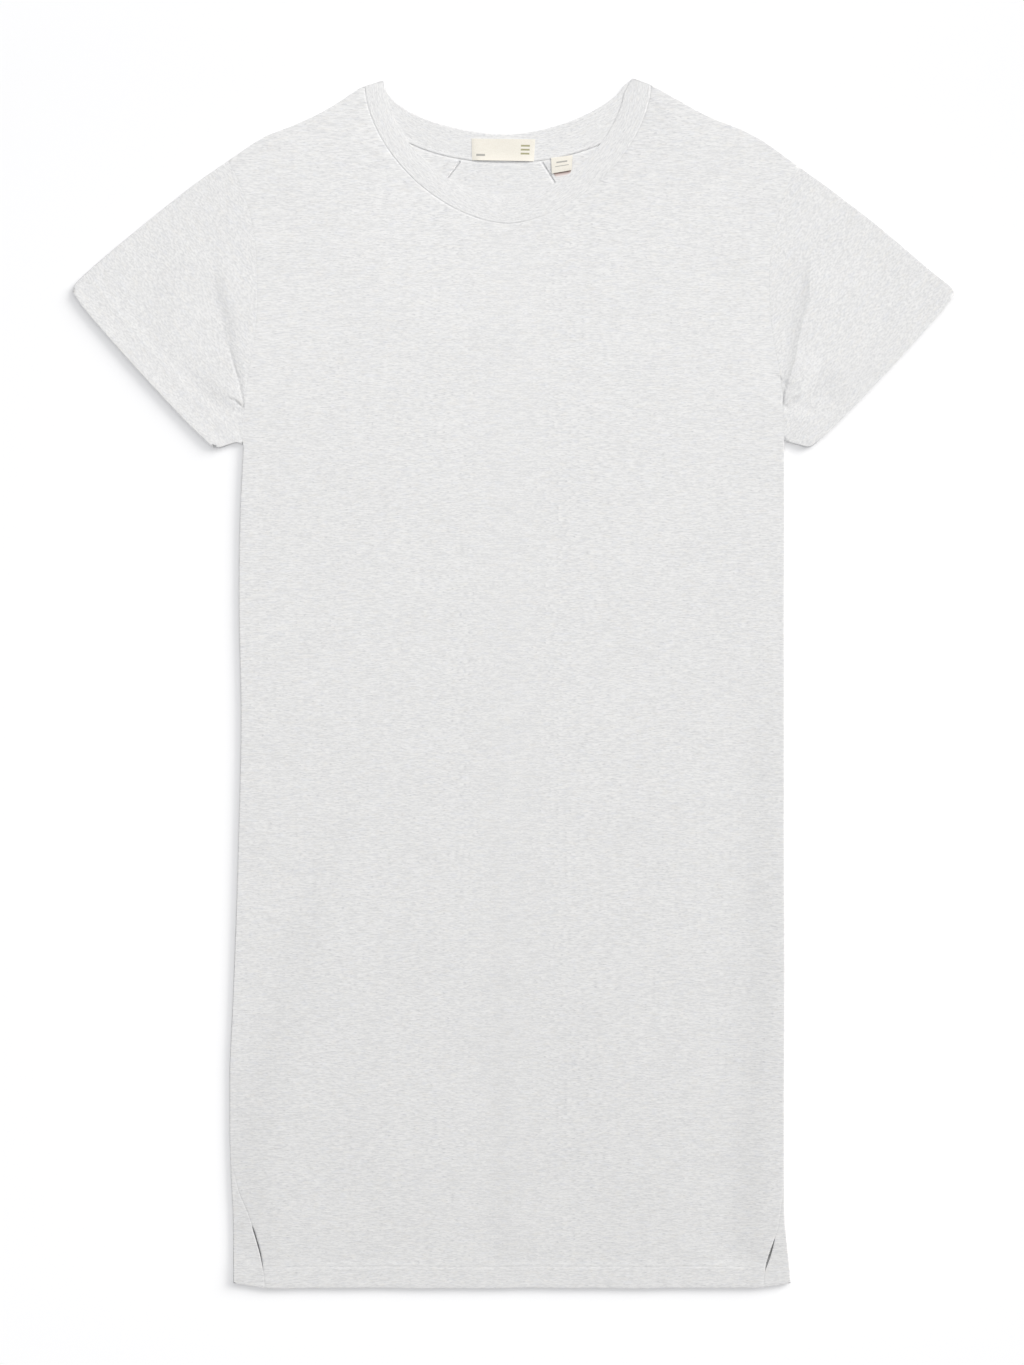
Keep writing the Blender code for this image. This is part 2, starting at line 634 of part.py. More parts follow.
# The rows between the two armholes
def armhole_rows(first_row, last_row, over, insets):
    shares = np.linspace(0.0, 1.0, ARMHOLE_ROWS + 1)
    inner = slice(len(insets) - 1, len(first_row) - len(insets) + 1)
    bottom, top = first_row[inner, :2], last_row[inner, :2]
    edges, flanks = [], []
    for armhole, end in ((RIGHT_ARMHOLE, 0), (LEFT_ARMHOLE, -1)):
        points, ways = armhole_points(armhole)
        edges.append([points + ways * inset for inset in insets[:-1]])
        flank = points + ways * insets[-1]
        at_bottom, at_top = bottom[end] - flank[0], top[end] - flank[-1]
        flanks.append(flank + lerp(at_bottom, at_top, shares[:, None]))
    middle = even_out(patch(bottom, top, flanks[0], flanks[1], shares))
    rows = []
    for i in range(1, ARMHOLE_ROWS):
        right = [edge[i] for edge in edges[0]]
        left = [edge[i] for edge in reversed(edges[1])]
        rows.append(grid_row([flat_point(place, over) for place in (*right, *middle[i], *left)]))
    return rows


# A body panel as one grid: level rows up to the underarm, then rows that rise between the
# armholes, and last the rows that roll over the shoulders
def body_panel(name, neckline, roll, shoulder_steps, neck_steps):
    over = 1.0 if roll is front_roll else -1.0
    insets = np.linspace(HALF_GAP, FOLD_RADIUS, len(roll("right", 0.0)))
    inner_steps = 2 * (shoulder_steps + HALF_ROLL_STEPS) + neck_steps + 2
    levels = body_levels()
    rows = [body_row(level, roll, inner_steps) for level in levels]
    ends = top_rows(neckline, over, insets, shoulder_steps, neck_steps)
    rows += armhole_rows(rows[-1][0], ends[0][0], over, insets)
    rows += ends
    outer = np.array([places for places, _ in rows])
    normals = np.array([facing for _, facing in rows])
    thickness = np.full((len(rows), 1), JERSEY)
    thickness[:len(levels)][levels < HEM_LEVEL + HEM_DEPTH] = TURNED_HEM
    return cloth_solid(name, outer, normals, thickness, OFF_WHITE)


# A row of points on an armhole seam, evenly spaced up to the rolled shoulder, and the ways from
# them into the body
def armhole_points(armhole):
    curve = smooth_curve(armhole)
    shares = np.linspace(0.0, 1.0, ARMHOLE_ROWS + 1)
    points = at_distances(curve, shares * (curve_length(curve) - FOLD_RADIUS))
    return points, square_to(points, (0.0, points[:, 1].mean()))


# The sleeve's open end at the body: up the body's folded side, then along the armhole seam
def sleeve_seam(side, armhole, underarm_level, outward):
    levels = np.linspace(underarm_level + FOLD_RADIUS, UNDERARM_LEVEL, BESIDE_STEPS + 1)
    beside = [(body_edge(side, level) + outward * SEAM_GAP, level) for level in levels]
    points, ways = armhole_points(armhole)
    return np.array(beside + list(points[1:] - ways[1:] * HALF_GAP))


# A sleeve is a flattened tube. Each ring goes over the upper layer, round the sleeve fold, back
# under the lower layer and round the underarm fold; the rings run from the armhole to the cuff.
def sleeve(name, side, armhole, sleeve_fold, underarm_fold):
    outward = -1.0 if side == "right" else 1.0
    fold = smooth_curve(sleeve_fold)
    underarm = smooth_curve(underarm_fold)
    length = curve_length(fold)
    hem_shares = 1 - np.array([HEM_DEPTH + HEM_STEP, HEM_DEPTH - HEM_STEP, CUFF_EDGE, 0.0]) / length
    shares = np.concatenate([np.linspace(0.0, 1.0, SLEEVE_RINGS + 1)[:-1], hem_shares])
    fold_line = at_shares(fold, shares)
    under_line = at_shares(underarm, shares)

    near = sleeve_seam(side, armhole, underarm_fold[0].y, outward)
    across = square_to(fold_line, under_line[-1]).mean(axis=0)
    along_cuff = unit(fold_line[-1] - under_line[-1])
    early = smooth_step(shares / SLEEVE_BLEND)[:, None]
    fold_ways = lerp(armhole_end_way(armhole), across, early)
    under_ways = lerp((0.0, 1.0), along_cuff, shares[:, None])
    fold_ways /= np.linalg.norm(fold_ways, axis=1, keepdims=True)
    under_ways /= np.linalg.norm(under_ways, axis=1, keepdims=True)
    fold_line[0] = near[-1] - fold_ways[0] * FOLD_RADIUS
    under_line[0] = near[0] - under_ways[0] * FOLD_RADIUS

    start = under_line + under_ways * FOLD_RADIUS
    end = fold_line + fold_ways * FOLD_RADIUS
    far = lerp(start[-1], end[-1], np.linspace(0.0, 1.0, len(near))[:, None])
    sheet = patch(near, far, start, end, shares)
    roll = np.linspace(QUARTER_ROLL, -QUARTER_ROLL, 2 * HALF_ROLL_STEPS + 1)[1:-1]
    rings = []
    for i in range(len(shares)):
        ring = [flat_point(place, 1.0) for place in sheet[i]]
        ring += [fold_point(fold_line[i], fold_ways[i], distance) for distance in roll]
        ring += [flat_point(place, -1.0) for place in sheet[i][::-1]]
        ring += [fold_point(under_line[i], under_ways[i], -distance) for distance in roll]
        rings.append(ring)
    outer, normals = (np.stack(grid, axis=1) for grid in zip(*map(grid_row, rings)))
    thickness = np.where(shares > 1 - HEM_DEPTH / length, TURNED_HEM, JERSEY)[None, :]
    return cloth_solid(name, outer, normals, thickness, OFF_WHITE, ring=True)


# The stations across the neckband's flat front or back half, from its seam to its free edge
def band_stations(seam_line, edge_line, steps, over):
    angles = neck_angles(steps)
    seam_points, ways = neck_points(seam_line, angles)
    edge_points = edge_curve(edge_line, angles)
    stations = []
    for at_seam, way, at_edge in zip(seam_points, ways, edge_points):
        shares = np.linspace(0.0, 1.0, BAND_STEPS + 1)
        places = [lerp(at_seam - way * HALF_GAP, at_edge, share) for share in shares]
        stations.append([flat_point(place, over) for place in places])
    return stations


# The stations round one of the neckband's two folds, from the front half to the back half
def band_fold(seam_end, peak, inward):
    square = square_to(np.array([seam_end, peak]), (0.0, 0.0))[1]
    seam_end = np.asarray(seam_end) + np.array([inward * HALF_GAP, 0.0])
    stations = []
    for distance in np.linspace(QUARTER_ROLL, -QUARTER_ROLL, 2 * HALF_ROLL_STEPS + 1):
        station = []
        for share in np.linspace(0.0, 1.0, BAND_STEPS + 1):
            way = unit(lerp(NECK_WAY, square, share))
            station.append(fold_point(lerp(seam_end, peak, share), way, distance))
        stations.append(station)
    return stations


def neckband():
    stations = band_stations(FRONT_SEAM, FRONT_EDGE, FRONT_NECK_STEPS, 1.0)
    stations += band_fold(NECK_LEFT_SEAM, BAND_LEFT_PEAK, -1.0)
    stations += band_stations(BACK_SEAM, BACK_EDGE, BACK_NECK_STEPS, -1.0)[::-1]
    stations += band_fold(NECK_RIGHT_SEAM, BAND_RIGHT_PEAK, 1.0)[::-1]
    outer, normals = (np.array(grid) for grid in zip(*map(grid_row, stations)))
    return cloth_solid("neckband", outer, normals, BAND_CLOTH, OFF_WHITE, ring=True)


# A flat slip of cloth given by rows of in-plane points, lying with its underside at a height
def flat_slip(name, rows, underside, thickness, color):
    plane = np.array(rows, dtype=float)
    top = np.full(plane.shape[:2] + (1,), underside + thickness)
    outer = np.concatenate([plane, top], axis=-1)
    normals = np.zeros_like(outer)
    normals[..., 2] = 1.0
    return cloth_solid(name, outer, normals, thickness, color)


# The folded take-up of a neck dart: widest at the neck seam, pointed below
def take_up(name, dart):
    rows = []
    for share in np.linspace(0.0, 1.0, DART_ROWS + 1):
        folded_edge = np.array(dart.start) + np.array(dart.way) * DART_LENGTH * share
        width = lerp(DART_WIDTH, DART_TIP, share)
        rows.append([folded_edge, folded_edge + np.array(dart.seam_way) * width])
    return flat_slip(name, rows, JERSEY + SEAM_GAP, JERSEY, OFF_WHITE)


def label(name, corners, underside, color):
    lower_right, lower_left, upper_left, upper_right = corners
    return flat_slip(name, [[lower_right, lower_left], [upper_right, upper_left]],
                     underside, LABEL_CLOTH, color)


def main():
    clear_scene()
    body_panel("front", FRONT_SEAM, front_roll, FRONT_SHOULDER_STEPS, FRONT_NECK_STEPS)
    body_panel("back", BACK_SEAM, back_roll, BACK_SHOULDER_STEPS, BACK_NECK_STEPS)
    sleeve("sleeve_right", "right", RIGHT_ARMHOLE, RIGHT_SLEEVE_FOLD, RIGHT_UNDERARM_FOLD)
    sleeve("sleeve_left", "left", LEFT_ARMHOLE, LEFT_SLEEVE_FOLD, LEFT_UNDERARM_FOLD)
    neckband()
    take_up("dart_right", RIGHT_DART)
    take_up("dart_left", LEFT_DART)
    label("main_label", MAIN_LABEL_CORNERS, BAND_CLOTH + SEAM_GAP, CREAM)
    label("size_label", SIZE_LABEL_CORNERS, 2 * (JERSEY + SEAM_GAP), CREAM)


main()
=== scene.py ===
import math

import bpy
import numpy as np
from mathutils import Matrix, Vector, geometry, kdtree, noise


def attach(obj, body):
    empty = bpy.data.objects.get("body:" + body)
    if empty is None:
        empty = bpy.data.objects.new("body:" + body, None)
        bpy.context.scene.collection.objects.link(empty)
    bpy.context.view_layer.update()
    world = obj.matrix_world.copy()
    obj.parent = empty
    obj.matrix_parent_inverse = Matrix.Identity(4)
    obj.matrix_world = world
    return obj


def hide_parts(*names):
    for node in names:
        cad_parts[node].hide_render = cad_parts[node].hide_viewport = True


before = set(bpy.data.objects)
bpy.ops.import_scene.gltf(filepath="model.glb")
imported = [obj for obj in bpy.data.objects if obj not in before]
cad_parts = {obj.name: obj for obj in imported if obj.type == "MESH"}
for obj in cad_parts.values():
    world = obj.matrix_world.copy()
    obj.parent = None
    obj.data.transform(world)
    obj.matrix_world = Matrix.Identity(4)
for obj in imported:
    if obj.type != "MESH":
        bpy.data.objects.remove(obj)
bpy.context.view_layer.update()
bpy.ops.object.select_all(action="DESELECT")
print("frame loaded")

# Outlines in plan: the solids' own, with the sides up to 0.5 mm further out and the neck and the
# cuffs' bow fitted more closely
body = {
    "hem": -0.4598,
    "underarm": 0.2151,
    "ventTop": -0.360,
    "cornerLift": 0.0036,
    "cornerReach": 0.026,
    # how high, how close together and how far along the hem's ripples are
    "ripples": [(0.00022, 47.0, 0.6), (0.00014, 113.0, 0.0)],
    # level, right edge, left edge
    "edges": [
        (-0.460, -0.2130, 0.2110), (-0.445, -0.2130, 0.2101), (-0.430, -0.2130, 0.2086),
        (-0.408, -0.2132, 0.2065), (-0.375, -0.2148, 0.2060), (-0.294, -0.2158, 0.2061),
        (-0.246, -0.2136, 0.2063), (-0.191, -0.2114, 0.2063), (-0.119, -0.2091, 0.2060),
        (-0.026, -0.2072, 0.2060), (0.063, -0.2087, 0.2060), (0.138, -0.2075, 0.2062),
        (0.177, -0.2056, 0.2060), (0.216, -0.2047, 0.2050)],
    # level, how far in the right and the left seam lie
    "seams": [
        (-0.460, 0.0243, 0.0212), (-0.447, 0.0230, 0.0190), (-0.434, 0.0208, 0.0139),
        (-0.422, 0.0175, 0.0090), (-0.413, 0.0148, 0.0055), (-0.400, 0.0105, 0.0030),
        (-0.388, 0.0059, 0.0010), (-0.375, 0.0032, 0.0000), (-0.360, 0.0000, 0.0000),
        (0.220, 0.0000, 0.0000)],
    # level, how wide the right and the left vent gape
    "vents": [(-0.460, 0.0, 0.0), (-0.4475, 0.0, 0.0), (-0.4455, 0.0001, 0.0003),
              (-0.4430, 0.0003, 0.0010), (-0.4370, 0.0007, 0.0018), (-0.4290, 0.0009, 0.0013),
              (-0.4225, 0.0010, 0.0003), (-0.4205, 0.0010, 0.0), (-0.4145, 0.0007, 0.0),
              (-0.4125, 0.0, 0.0), (0.220, 0.0, 0.0)],
}
neck = {
    "seamEnds": [(-0.1130, 0.4541), (0.1047, 0.4551)],
    "peaks": [(-0.0990, 0.4579), (0.0908, 0.4598)],
    "edgeEnds": [(-0.0983, 0.4579), (0.0857, 0.4579)],
    # depth, power at the right, power at the left
    "frontSeam": (0.1052, 1.71, 1.71),
    "backSeam": (0.0583, 2.08, 2.03),
    "frontEdge": (0.0884, 1.75, 1.75),
    "backEdge": (0.0402, 1.86, 1.56),
    "cornerAngle": 0.13,
    # from where, and over what width, the band and the back part
    "parting": (0.02, 0.03),
}
arms = {
    "right": {
        "armhole": [(-0.2047, 0.2151), (-0.2007, 0.2409), (-0.1978, 0.2563), (-0.1953, 0.2797),
                    (-0.1949, 0.3087), (-0.1968, 0.3377), (-0.2027, 0.3649), (-0.2104, 0.3843),
                    (-0.2172, 0.3969)],
        "shoulder": [(-0.2172, 0.3969), (-0.1891, 0.4153), (-0.1697, 0.4231), (-0.1484, 0.4327),
                     (-0.1328, 0.4416), (-0.1173, 0.4521), (-0.1130, 0.4541)],
        "sleeveFold": [(-0.2172, 0.3969), (-0.2434, 0.3785), (-0.2921, 0.3397), (-0.3151, 0.3203),
                       (-0.3330, 0.3036), (-0.3355, 0.2980)],
        "underarmFold": [(-0.2057, 0.1809), (-0.2104, 0.1826), (-0.2236, 0.1786),
                         (-0.2278, 0.1788)],
        "bowing": 1.2,
    },
    "left": {
        "armhole": [(0.2050, 0.2151), (0.2016, 0.2409), (0.1978, 0.2602), (0.1954, 0.2797),
                    (0.1943, 0.3029), (0.1958, 0.3281), (0.1997, 0.3494), (0.2045, 0.3688),
                    (0.2103, 0.3824), (0.2171, 0.3930)],
        "shoulder": [(0.2171, 0.3930), (0.1900, 0.4124), (0.1745, 0.4207), (0.1493, 0.4308),
                     (0.1240, 0.4444), (0.1047, 0.4551)],
        "sleeveFold": [(0.2171, 0.3930), (0.2404, 0.3764), (0.2791, 0.3465), (0.3179, 0.3135),
                       (0.3332, 0.3010), (0.3354, 0.2955)],
        "underarmFold": [(0.2064, 0.1836), (0.2171, 0.1807), (0.2249, 0.1792), (0.2307, 0.1826)],
        "bowing": 1.0,
    },
}
sides = {"right": -1.0, "left": 1.0}
# share of a cuff's length, how far its edge bows out there
cuffBow = [(0.0, 0.0), (0.05, 0.0012), (0.12, 0.0020), (0.30, 0.0025), (0.52, 0.0026),
           (0.76, 0.0021), (0.92, 0.0010), (1.0, 0.0)]


# A value in a material's nodes, for plain sums
class Value:
    def __init__(self, paint, socket):
        self.paint = paint
        self.socket = socket

    def math(self, operation, first, second):
        return self.paint.add("ShaderNodeMath", {"operation": operation}, {0: first, 1: second})

    def __add__(self, other):
        return self.math("ADD", self, other)

    def __sub__(self, other):
        return self.math("SUBTRACT", self, other)

    def __rsub__(self, other):
        return self.math("SUBTRACT", other, self)

    def __mul__(self, other):
        return self.math("MULTIPLY", self, other)


class Paint:
    def __init__(self, name):
        self.material = bpy.data.materials.new(name)
        self.material.use_nodes = True
        self.tree = self.material.node_tree
        self.shader = self.tree.nodes["Principled BSDF"]

    def add(self, kind, settings, inputs, output=0):
        node = self.tree.nodes.new(kind)
        for name, value in settings.items():
            setattr(node, name, value)
        for name, value in inputs.items():
            self.feed(node.inputs[name], value)
        return Value(self, node.outputs[output])

    def feed(self, socket, value):
        if isinstance(value, Value):
            self.tree.links.new(value.socket, socket)
        else:
            socket.default_value = value

    def set(self, **values):
        for name, value in values.items():
            self.feed(self.shader.inputs[name.replace("_", " ")], value)

    def placed(self, uvName=None):
        if uvName:
            return self.add("ShaderNodeUVMap", {"uv_map": uvName}, {})
        return self.add("ShaderNodeTexCoord", {}, {}, "Object")

    def axis(self, where, name):
        return self.add("ShaderNodeSeparateXYZ", {}, {0: where}, name)

    # A pattern whose grain is size = (length, width, depth) in metres, turned in plan
    def grain(self, where, size, turn, detail=2.0):
        laid = self.add("ShaderNodeMapping", {"vector_type": "TEXTURE"},
                        {"Vector": where, "Rotation": (0.0, 0.0, turn), "Scale": size})
        return self.add("ShaderNodeTexNoise", {"noise_dimensions": "3D"},
                        {"Vector": laid, "Scale": 1.0, "Detail": detail, "Roughness": 0.55})

    # 0 below low, 1 above high
    def between(self, value, low, high, way="SMOOTHSTEP"):
        return self.add("ShaderNodeMapRange", {"interpolation_type": way},
                        {"Value": value, "From Min": low, "From Max": high})

    def mix(self, share, first, second):
        return self.add("ShaderNodeMix", {"data_type": "RGBA"},
                        {0: share, 6: first, 7: second}, 2)

    def bump(self, relief, strength, depth):
        return self.add("ShaderNodeBump", {}, {"Strength": strength, "Distance": depth,
                                               "Height": relief})


stageLook = {
    "floorSize": 30.0,
    "floorLevel": -0.0005,
    "floorTone": (0.66, 0.66, 0.66, 1.0),
    "floorRoughness": 0.9,
    # the floor's own glow, from the hem to the neck, evens out the lamp's falling off
    "glowLow": (0.379, 0.378, 0.382, 1.0),
    "glowHigh": (0.282, 0.281, 0.285, 1.0),
    "glowLevels": (-0.46, 0.46),
    "worldTone": (0.94, 0.96, 1.0, 1.0),
    "worldStrength": 0.203,
    "keyTone": (1.0, 0.99, 0.97),
    "keyStrength": 2.79,
    "keyAngle": 35.0,
    "keyFrom": (0.756, 0.530, 0.530),
    "topTone": (0.985, 0.99, 1.0),
    "topStrength": 24.5,
    "topSize": 2.0,
    "topFrom": (0.05, 0.74, 1.95),
    "topAt": (0.0, 0.32, 0.0),
    "cameraAt": (-0.00099, 0.00038, 2.504),
    "lens": 86.75,
    "sensor": 36.0,
}


def addLamp(kind, name, towards):
    bpy.ops.object.light_add(type=kind, location=stageLook["topFrom"])
    lamp = bpy.context.object
    lamp.name = name
    lamp.data.color = stageLook[name + "Tone"]
    lamp.data.energy = stageLook[name + "Strength"]
    lamp.rotation_euler = Vector(towards).to_track_quat("Z", "Y").to_euler()
    return lamp.data


def setStage():
    bpy.ops.mesh.primitive_plane_add(size=stageLook["floorSize"],
                                     location=(0.0, 0.0, stageLook["floorLevel"]))
    floor = bpy.context.object
    floor.name = "floor"
    paint = Paint("floor")
    level = paint.between(paint.axis(paint.placed(), "Y"), *stageLook["glowLevels"], "LINEAR")
    glow = paint.mix(level, stageLook["glowLow"], stageLook["glowHigh"])
    paint.set(Base_Color=stageLook["floorTone"], Roughness=stageLook["floorRoughness"],
              Specular_IOR_Level=0.0, Emission_Color=glow, Emission_Strength=1.0)
    floor.data.materials.append(paint.material)

    world = bpy.data.worlds.new("studio")
    world.use_nodes = True
    background = world.node_tree.nodes["Background"]
    background.inputs["Color"].default_value = stageLook["worldTone"]
    background.inputs["Strength"].default_value = stageLook["worldStrength"]
    bpy.context.scene.world = world

    addLamp("SUN", "key", stageLook["keyFrom"]).angle = math.radians(stageLook["keyAngle"])
    aim = Vector(stageLook["topFrom"]) - Vector(stageLook["topAt"])
    addLamp("AREA", "top", aim).size = stageLook["topSize"]

    bpy.ops.object.camera_add(location=stageLook["cameraAt"])
    camera = bpy.context.object
    camera.data.lens = stageLook["lens"]
    camera.data.sensor_width = stageLook["sensor"]
    bpy.context.scene.camera = camera
    bpy.context.scene.view_settings.view_transform = "Standard"


setStage()
print("stage set")


# Curves in plan
def ease(value):
    value = np.clip(value, 0.0, 1.0)
    return value * value * (3.0 - 2.0 * value)


def lerp(start, end, share):
    return np.asarray(start) * (1.0 - share) + np.asarray(end) * share


def unit(vector):
    return np.asarray(vector) / np.linalg.norm(vector)


# From start to end, leaving and arriving at the given slopes
def hermite(t, start, end, leave, arrive):
    return ((2 * t**3 - 3 * t**2 + 1) * start + (t**3 - 2 * t**2 + t) * leave
            + (3 * t**2 - 2 * t**3) * end + (t**3 - t**2) * arrive)


def smoothCurve(points, steps=12):
    knots = np.array(points, dtype=float)
    ends = np.vstack([2 * knots[0] - knots[1], knots, 2 * knots[-1] - knots[-2]])
    curve = []
    for i in range(1, len(ends) - 2):
        before, start, end, after = ends[i - 1:i + 3]
        reach = np.linalg.norm(end - start)
        leave = unit(end - before) * reach
        arrive = unit(after - start) * reach
        curve += [hermite(t, start, end, leave, arrive) for t in np.arange(steps) / steps]
    return np.array([*curve, knots[-1]])


def walk(curve):
    return np.concatenate([[0.0], np.cumsum(np.linalg.norm(np.diff(curve, axis=0), axis=1))])


def pointsAt(at, lengths, curve):
    return np.stack([np.interp(at, lengths, curve[:, 0]), np.interp(at, lengths, curve[:, 1])],
                    axis=-1)


# The same line again with evenly spaced points
def evenly(curve, spacing):
    lengths = walk(curve)
    count = max(2, int(round(lengths[-1] / spacing)))
    return pointsAt(np.linspace(0.0, lengths[-1], count + 1), lengths, curve)


# A side's column of one of the body's tables at the given levels, eased between its rows
def bodyAt(table, side, levels):
    rows = np.array(body[table])
    knots, values = rows[:, 0], rows[:, 1 if side == "right" else 2]
    slopes = np.gradient(values, knots)
    i = np.clip(np.searchsorted(knots, levels) - 1, 0, len(knots) - 2)
    span = knots[i + 1] - knots[i]
    t = np.clip((np.asarray(levels) - knots[i]) / span, 0.0, 1.0)
    value = hermite(t, values[i], values[i + 1], span * slopes[i], span * slopes[i + 1])
    return np.clip(value, np.minimum(values[i], values[i + 1]),
                   np.maximum(values[i], values[i + 1]))


# The hem rises a little towards its two corners and is not quite straight
def hemLine(x):
    level = body["hem"]
    inside = np.minimum(x - bodyAt("edges", "right", level), bodyAt("edges", "left", level) - x)
    lift = body["cornerLift"] * np.clip(1.0 - inside / body["cornerReach"], 0.0, 1.0)
    ripple = sum(high * np.sin(x * close + along) for high, close, along in body["ripples"])
    return level + lift + ripple * ease(inside / body["cornerReach"])


# Rounded neckline from the wearer's right to the left
def neckLine(shape, ends, angles):
    depth, rightPower, leftPower = shape
    (rightX, rightY), (leftX, leftY) = ends
    cos = np.cos(angles)
    power = lerp(rightPower, leftPower, (1.0 - cos) / 2)
    sin = np.clip(np.sin(angles), 0.0, 1.0)
    across = -np.sign(cos) * np.abs(cos) ** (2 / power)
    x = (rightX + leftX) / 2 + (leftX - rightX) / 2 * across
    y = lerp(rightY, leftY, (across + 1) / 2) - depth * sin ** (2 / power)
    return np.stack([x, y], axis=-1)


def neckSeam(name):
    return neckLine(neck[name], neck["seamEnds"], np.linspace(0.0, math.pi, 241))


# The band's free edge, which runs out to the two peaks
def bandEdge(name):
    corner = neck["cornerAngle"]
    angles = np.linspace(corner, math.pi - corner, 25)
    points = neckLine(neck[name], neck["edgeEnds"], angles)
    return smoothCurve([neck["peaks"][0], *points, neck["peaks"][1]])


batch = 1500  # points measured at a time, to spare memory
tiny = 1e-14


def inBatches(points, measure):
    firsts = range(0, max(len(points), 1), batch)
    return np.concatenate([measure(points[first:first + batch]) for first in firsts])


def away(points, starts, ends):
    along = ends - starts
    size = np.maximum((along * along).sum(-1), tiny)

    def measure(some):
        offset = some[:, None, :] - starts[None]
        share = np.clip((offset * along).sum(-1) / size, 0.0, 1.0)
        gap = offset - share[..., None] * along
        return np.sqrt((gap * gap).sum(-1).min(axis=1))

    return inBatches(points, measure)


# How far points lie from the nearest of several lines
def awayFrom(points, lines):
    starts = np.vstack([line[:-1] for line in lines])
    ends = np.vstack([line[1:] for line in lines])
    return away(points, starts, ends)


def insideLoop(points, starts, ends):
    rise = np.where(ends[:, 1] == starts[:, 1], tiny, ends[:, 1] - starts[:, 1])

    def measure(some):
        x, y = some[:, 0, None], some[:, 1, None]
        crossing = (starts[None, :, 1] > y) != (ends[None, :, 1] > y)
        at = starts[None, :, 0] + (y - starts[None, :, 1]) / rise * (ends - starts)[None, :, 0]
        return (crossing & (x < at)).sum(axis=1) % 2 == 1

    return inBatches(points, measure)


# How far along a line points lie, and how far to its left (positive) or right
def besideLine(points, line):
    starts, along = line[:-1], np.diff(line, axis=0)
    offset = points[:, None, :] - starts[None]
    size = (along * along).sum(-1)
    share = np.clip((offset * along).sum(-1) / size, 0.0, 1.0)
    gap = offset - share[..., None] * along
    distance = np.sqrt((gap * gap).sum(-1))
    nearest = distance.argmin(axis=1)
    pick = np.arange(len(points))
    way, offset = along[nearest], offset[pick, nearest]
    cross = way[:, 0] * offset[:, 1] - way[:, 1] * offset[:, 0]
    reached = walk(line)[nearest] + share[pick, nearest] * np.sqrt(size[nearest])
    return reached, distance[pick, nearest] * np.where(cross >= 0, 1.0, -1.0)


# How far apart the points of each kind of line are
spacing = {"edge": 0.0024, "neck": 0.0018, "bandFold": 0.0016, "crease": 0.004}
cornerGap = 0.0008
sleeveGap = 0.00004


def sideFold(side, low, high):
    levels = np.linspace(low, high, max(2, int(round((high - low) / spacing["edge"]))) + 1)
    return np.stack([bodyAt("edges", side, levels), levels], axis=-1)


# Everything that several pieces share is sampled once, so that their edges meet
def shareLines():
    lines = {}
    for side, out in sides.items():
        arm = arms[side]
        cornerX = bodyAt("edges", side, body["hem"])
        corner = (float(cornerX), float(hemLine(cornerX - out * 1e-6)))
        fold = sideFold(side, body["hem"], body["underarm"])
        fold = np.vstack([corner, fold[fold[:, 1] > corner[1] + cornerGap]])
        fold[-1] = arm["armhole"][0]
        lines[side + "Side"] = fold
        for name in ("armhole", "shoulder", "sleeveFold", "underarmFold"):
            lines[side + name] = evenly(smoothCurve(arm[name]), spacing["edge"])
        low = arm["underarmFold"][0]
        beside = sideFold(side, low[1], body["underarm"])
        beside[:, 0] += out * sleeveGap
        beside[0], beside[-1] = low, arm["armhole"][0]
        lines[side + "Beside"] = beside
        high, low = np.array(arm["sleeveFold"][-1]), np.array(arm["underarmFold"][-1])
        across = unit(low - high)
        outward = np.array([-across[1], across[0]]) * out
        bowed = [high + (low - high) * share + outward * reach * arm["bowing"]
                 for share, reach in cuffBow]
        lines[side + "cuff"] = evenly(smoothCurve(bowed), spacing["edge"])
        end = 0 if side == "right" else 1
        lines[side + "bandFold"] = evenly(np.array([neck["seamEnds"][end], neck["peaks"][end]]),
                                          spacing["bandFold"])
    for name in ("front", "back"):
        lines[name + "Seam"] = evenly(neckSeam(name + "Seam"), spacing["neck"])
        lines[name + "Edge"] = evenly(bandEdge(name + "Edge"), spacing["neck"])
    return lines


# Beside the sleeve the body's edge is sewn on, and is not folded
def folded():
    found = []
    for side in sides:
        line = lines[side + "Side"]
        found.append(line[line[:, 1] < arms[side]["underarmFold"][0][1] + 0.0001])
        found += [lines[side + name] for name in ("shoulder", "sleeveFold", "underarmFold", "bandFold")]
    return found


lines = shareLines()
foldLines = folded()

# The lie of the upper layer: low down and at the shoulders, and how its folded edges roll
lay = {
    "foldMiddle": 0.0020,
    "upperTop": (0.0045, 0.0034),
    "topLevels": (0.20, 0.36),
    "upperRoll": 0.0007,
    "lowerRoll": 0.0020,
    "lowest": 0.0021,
    "rim": 0.020,
}

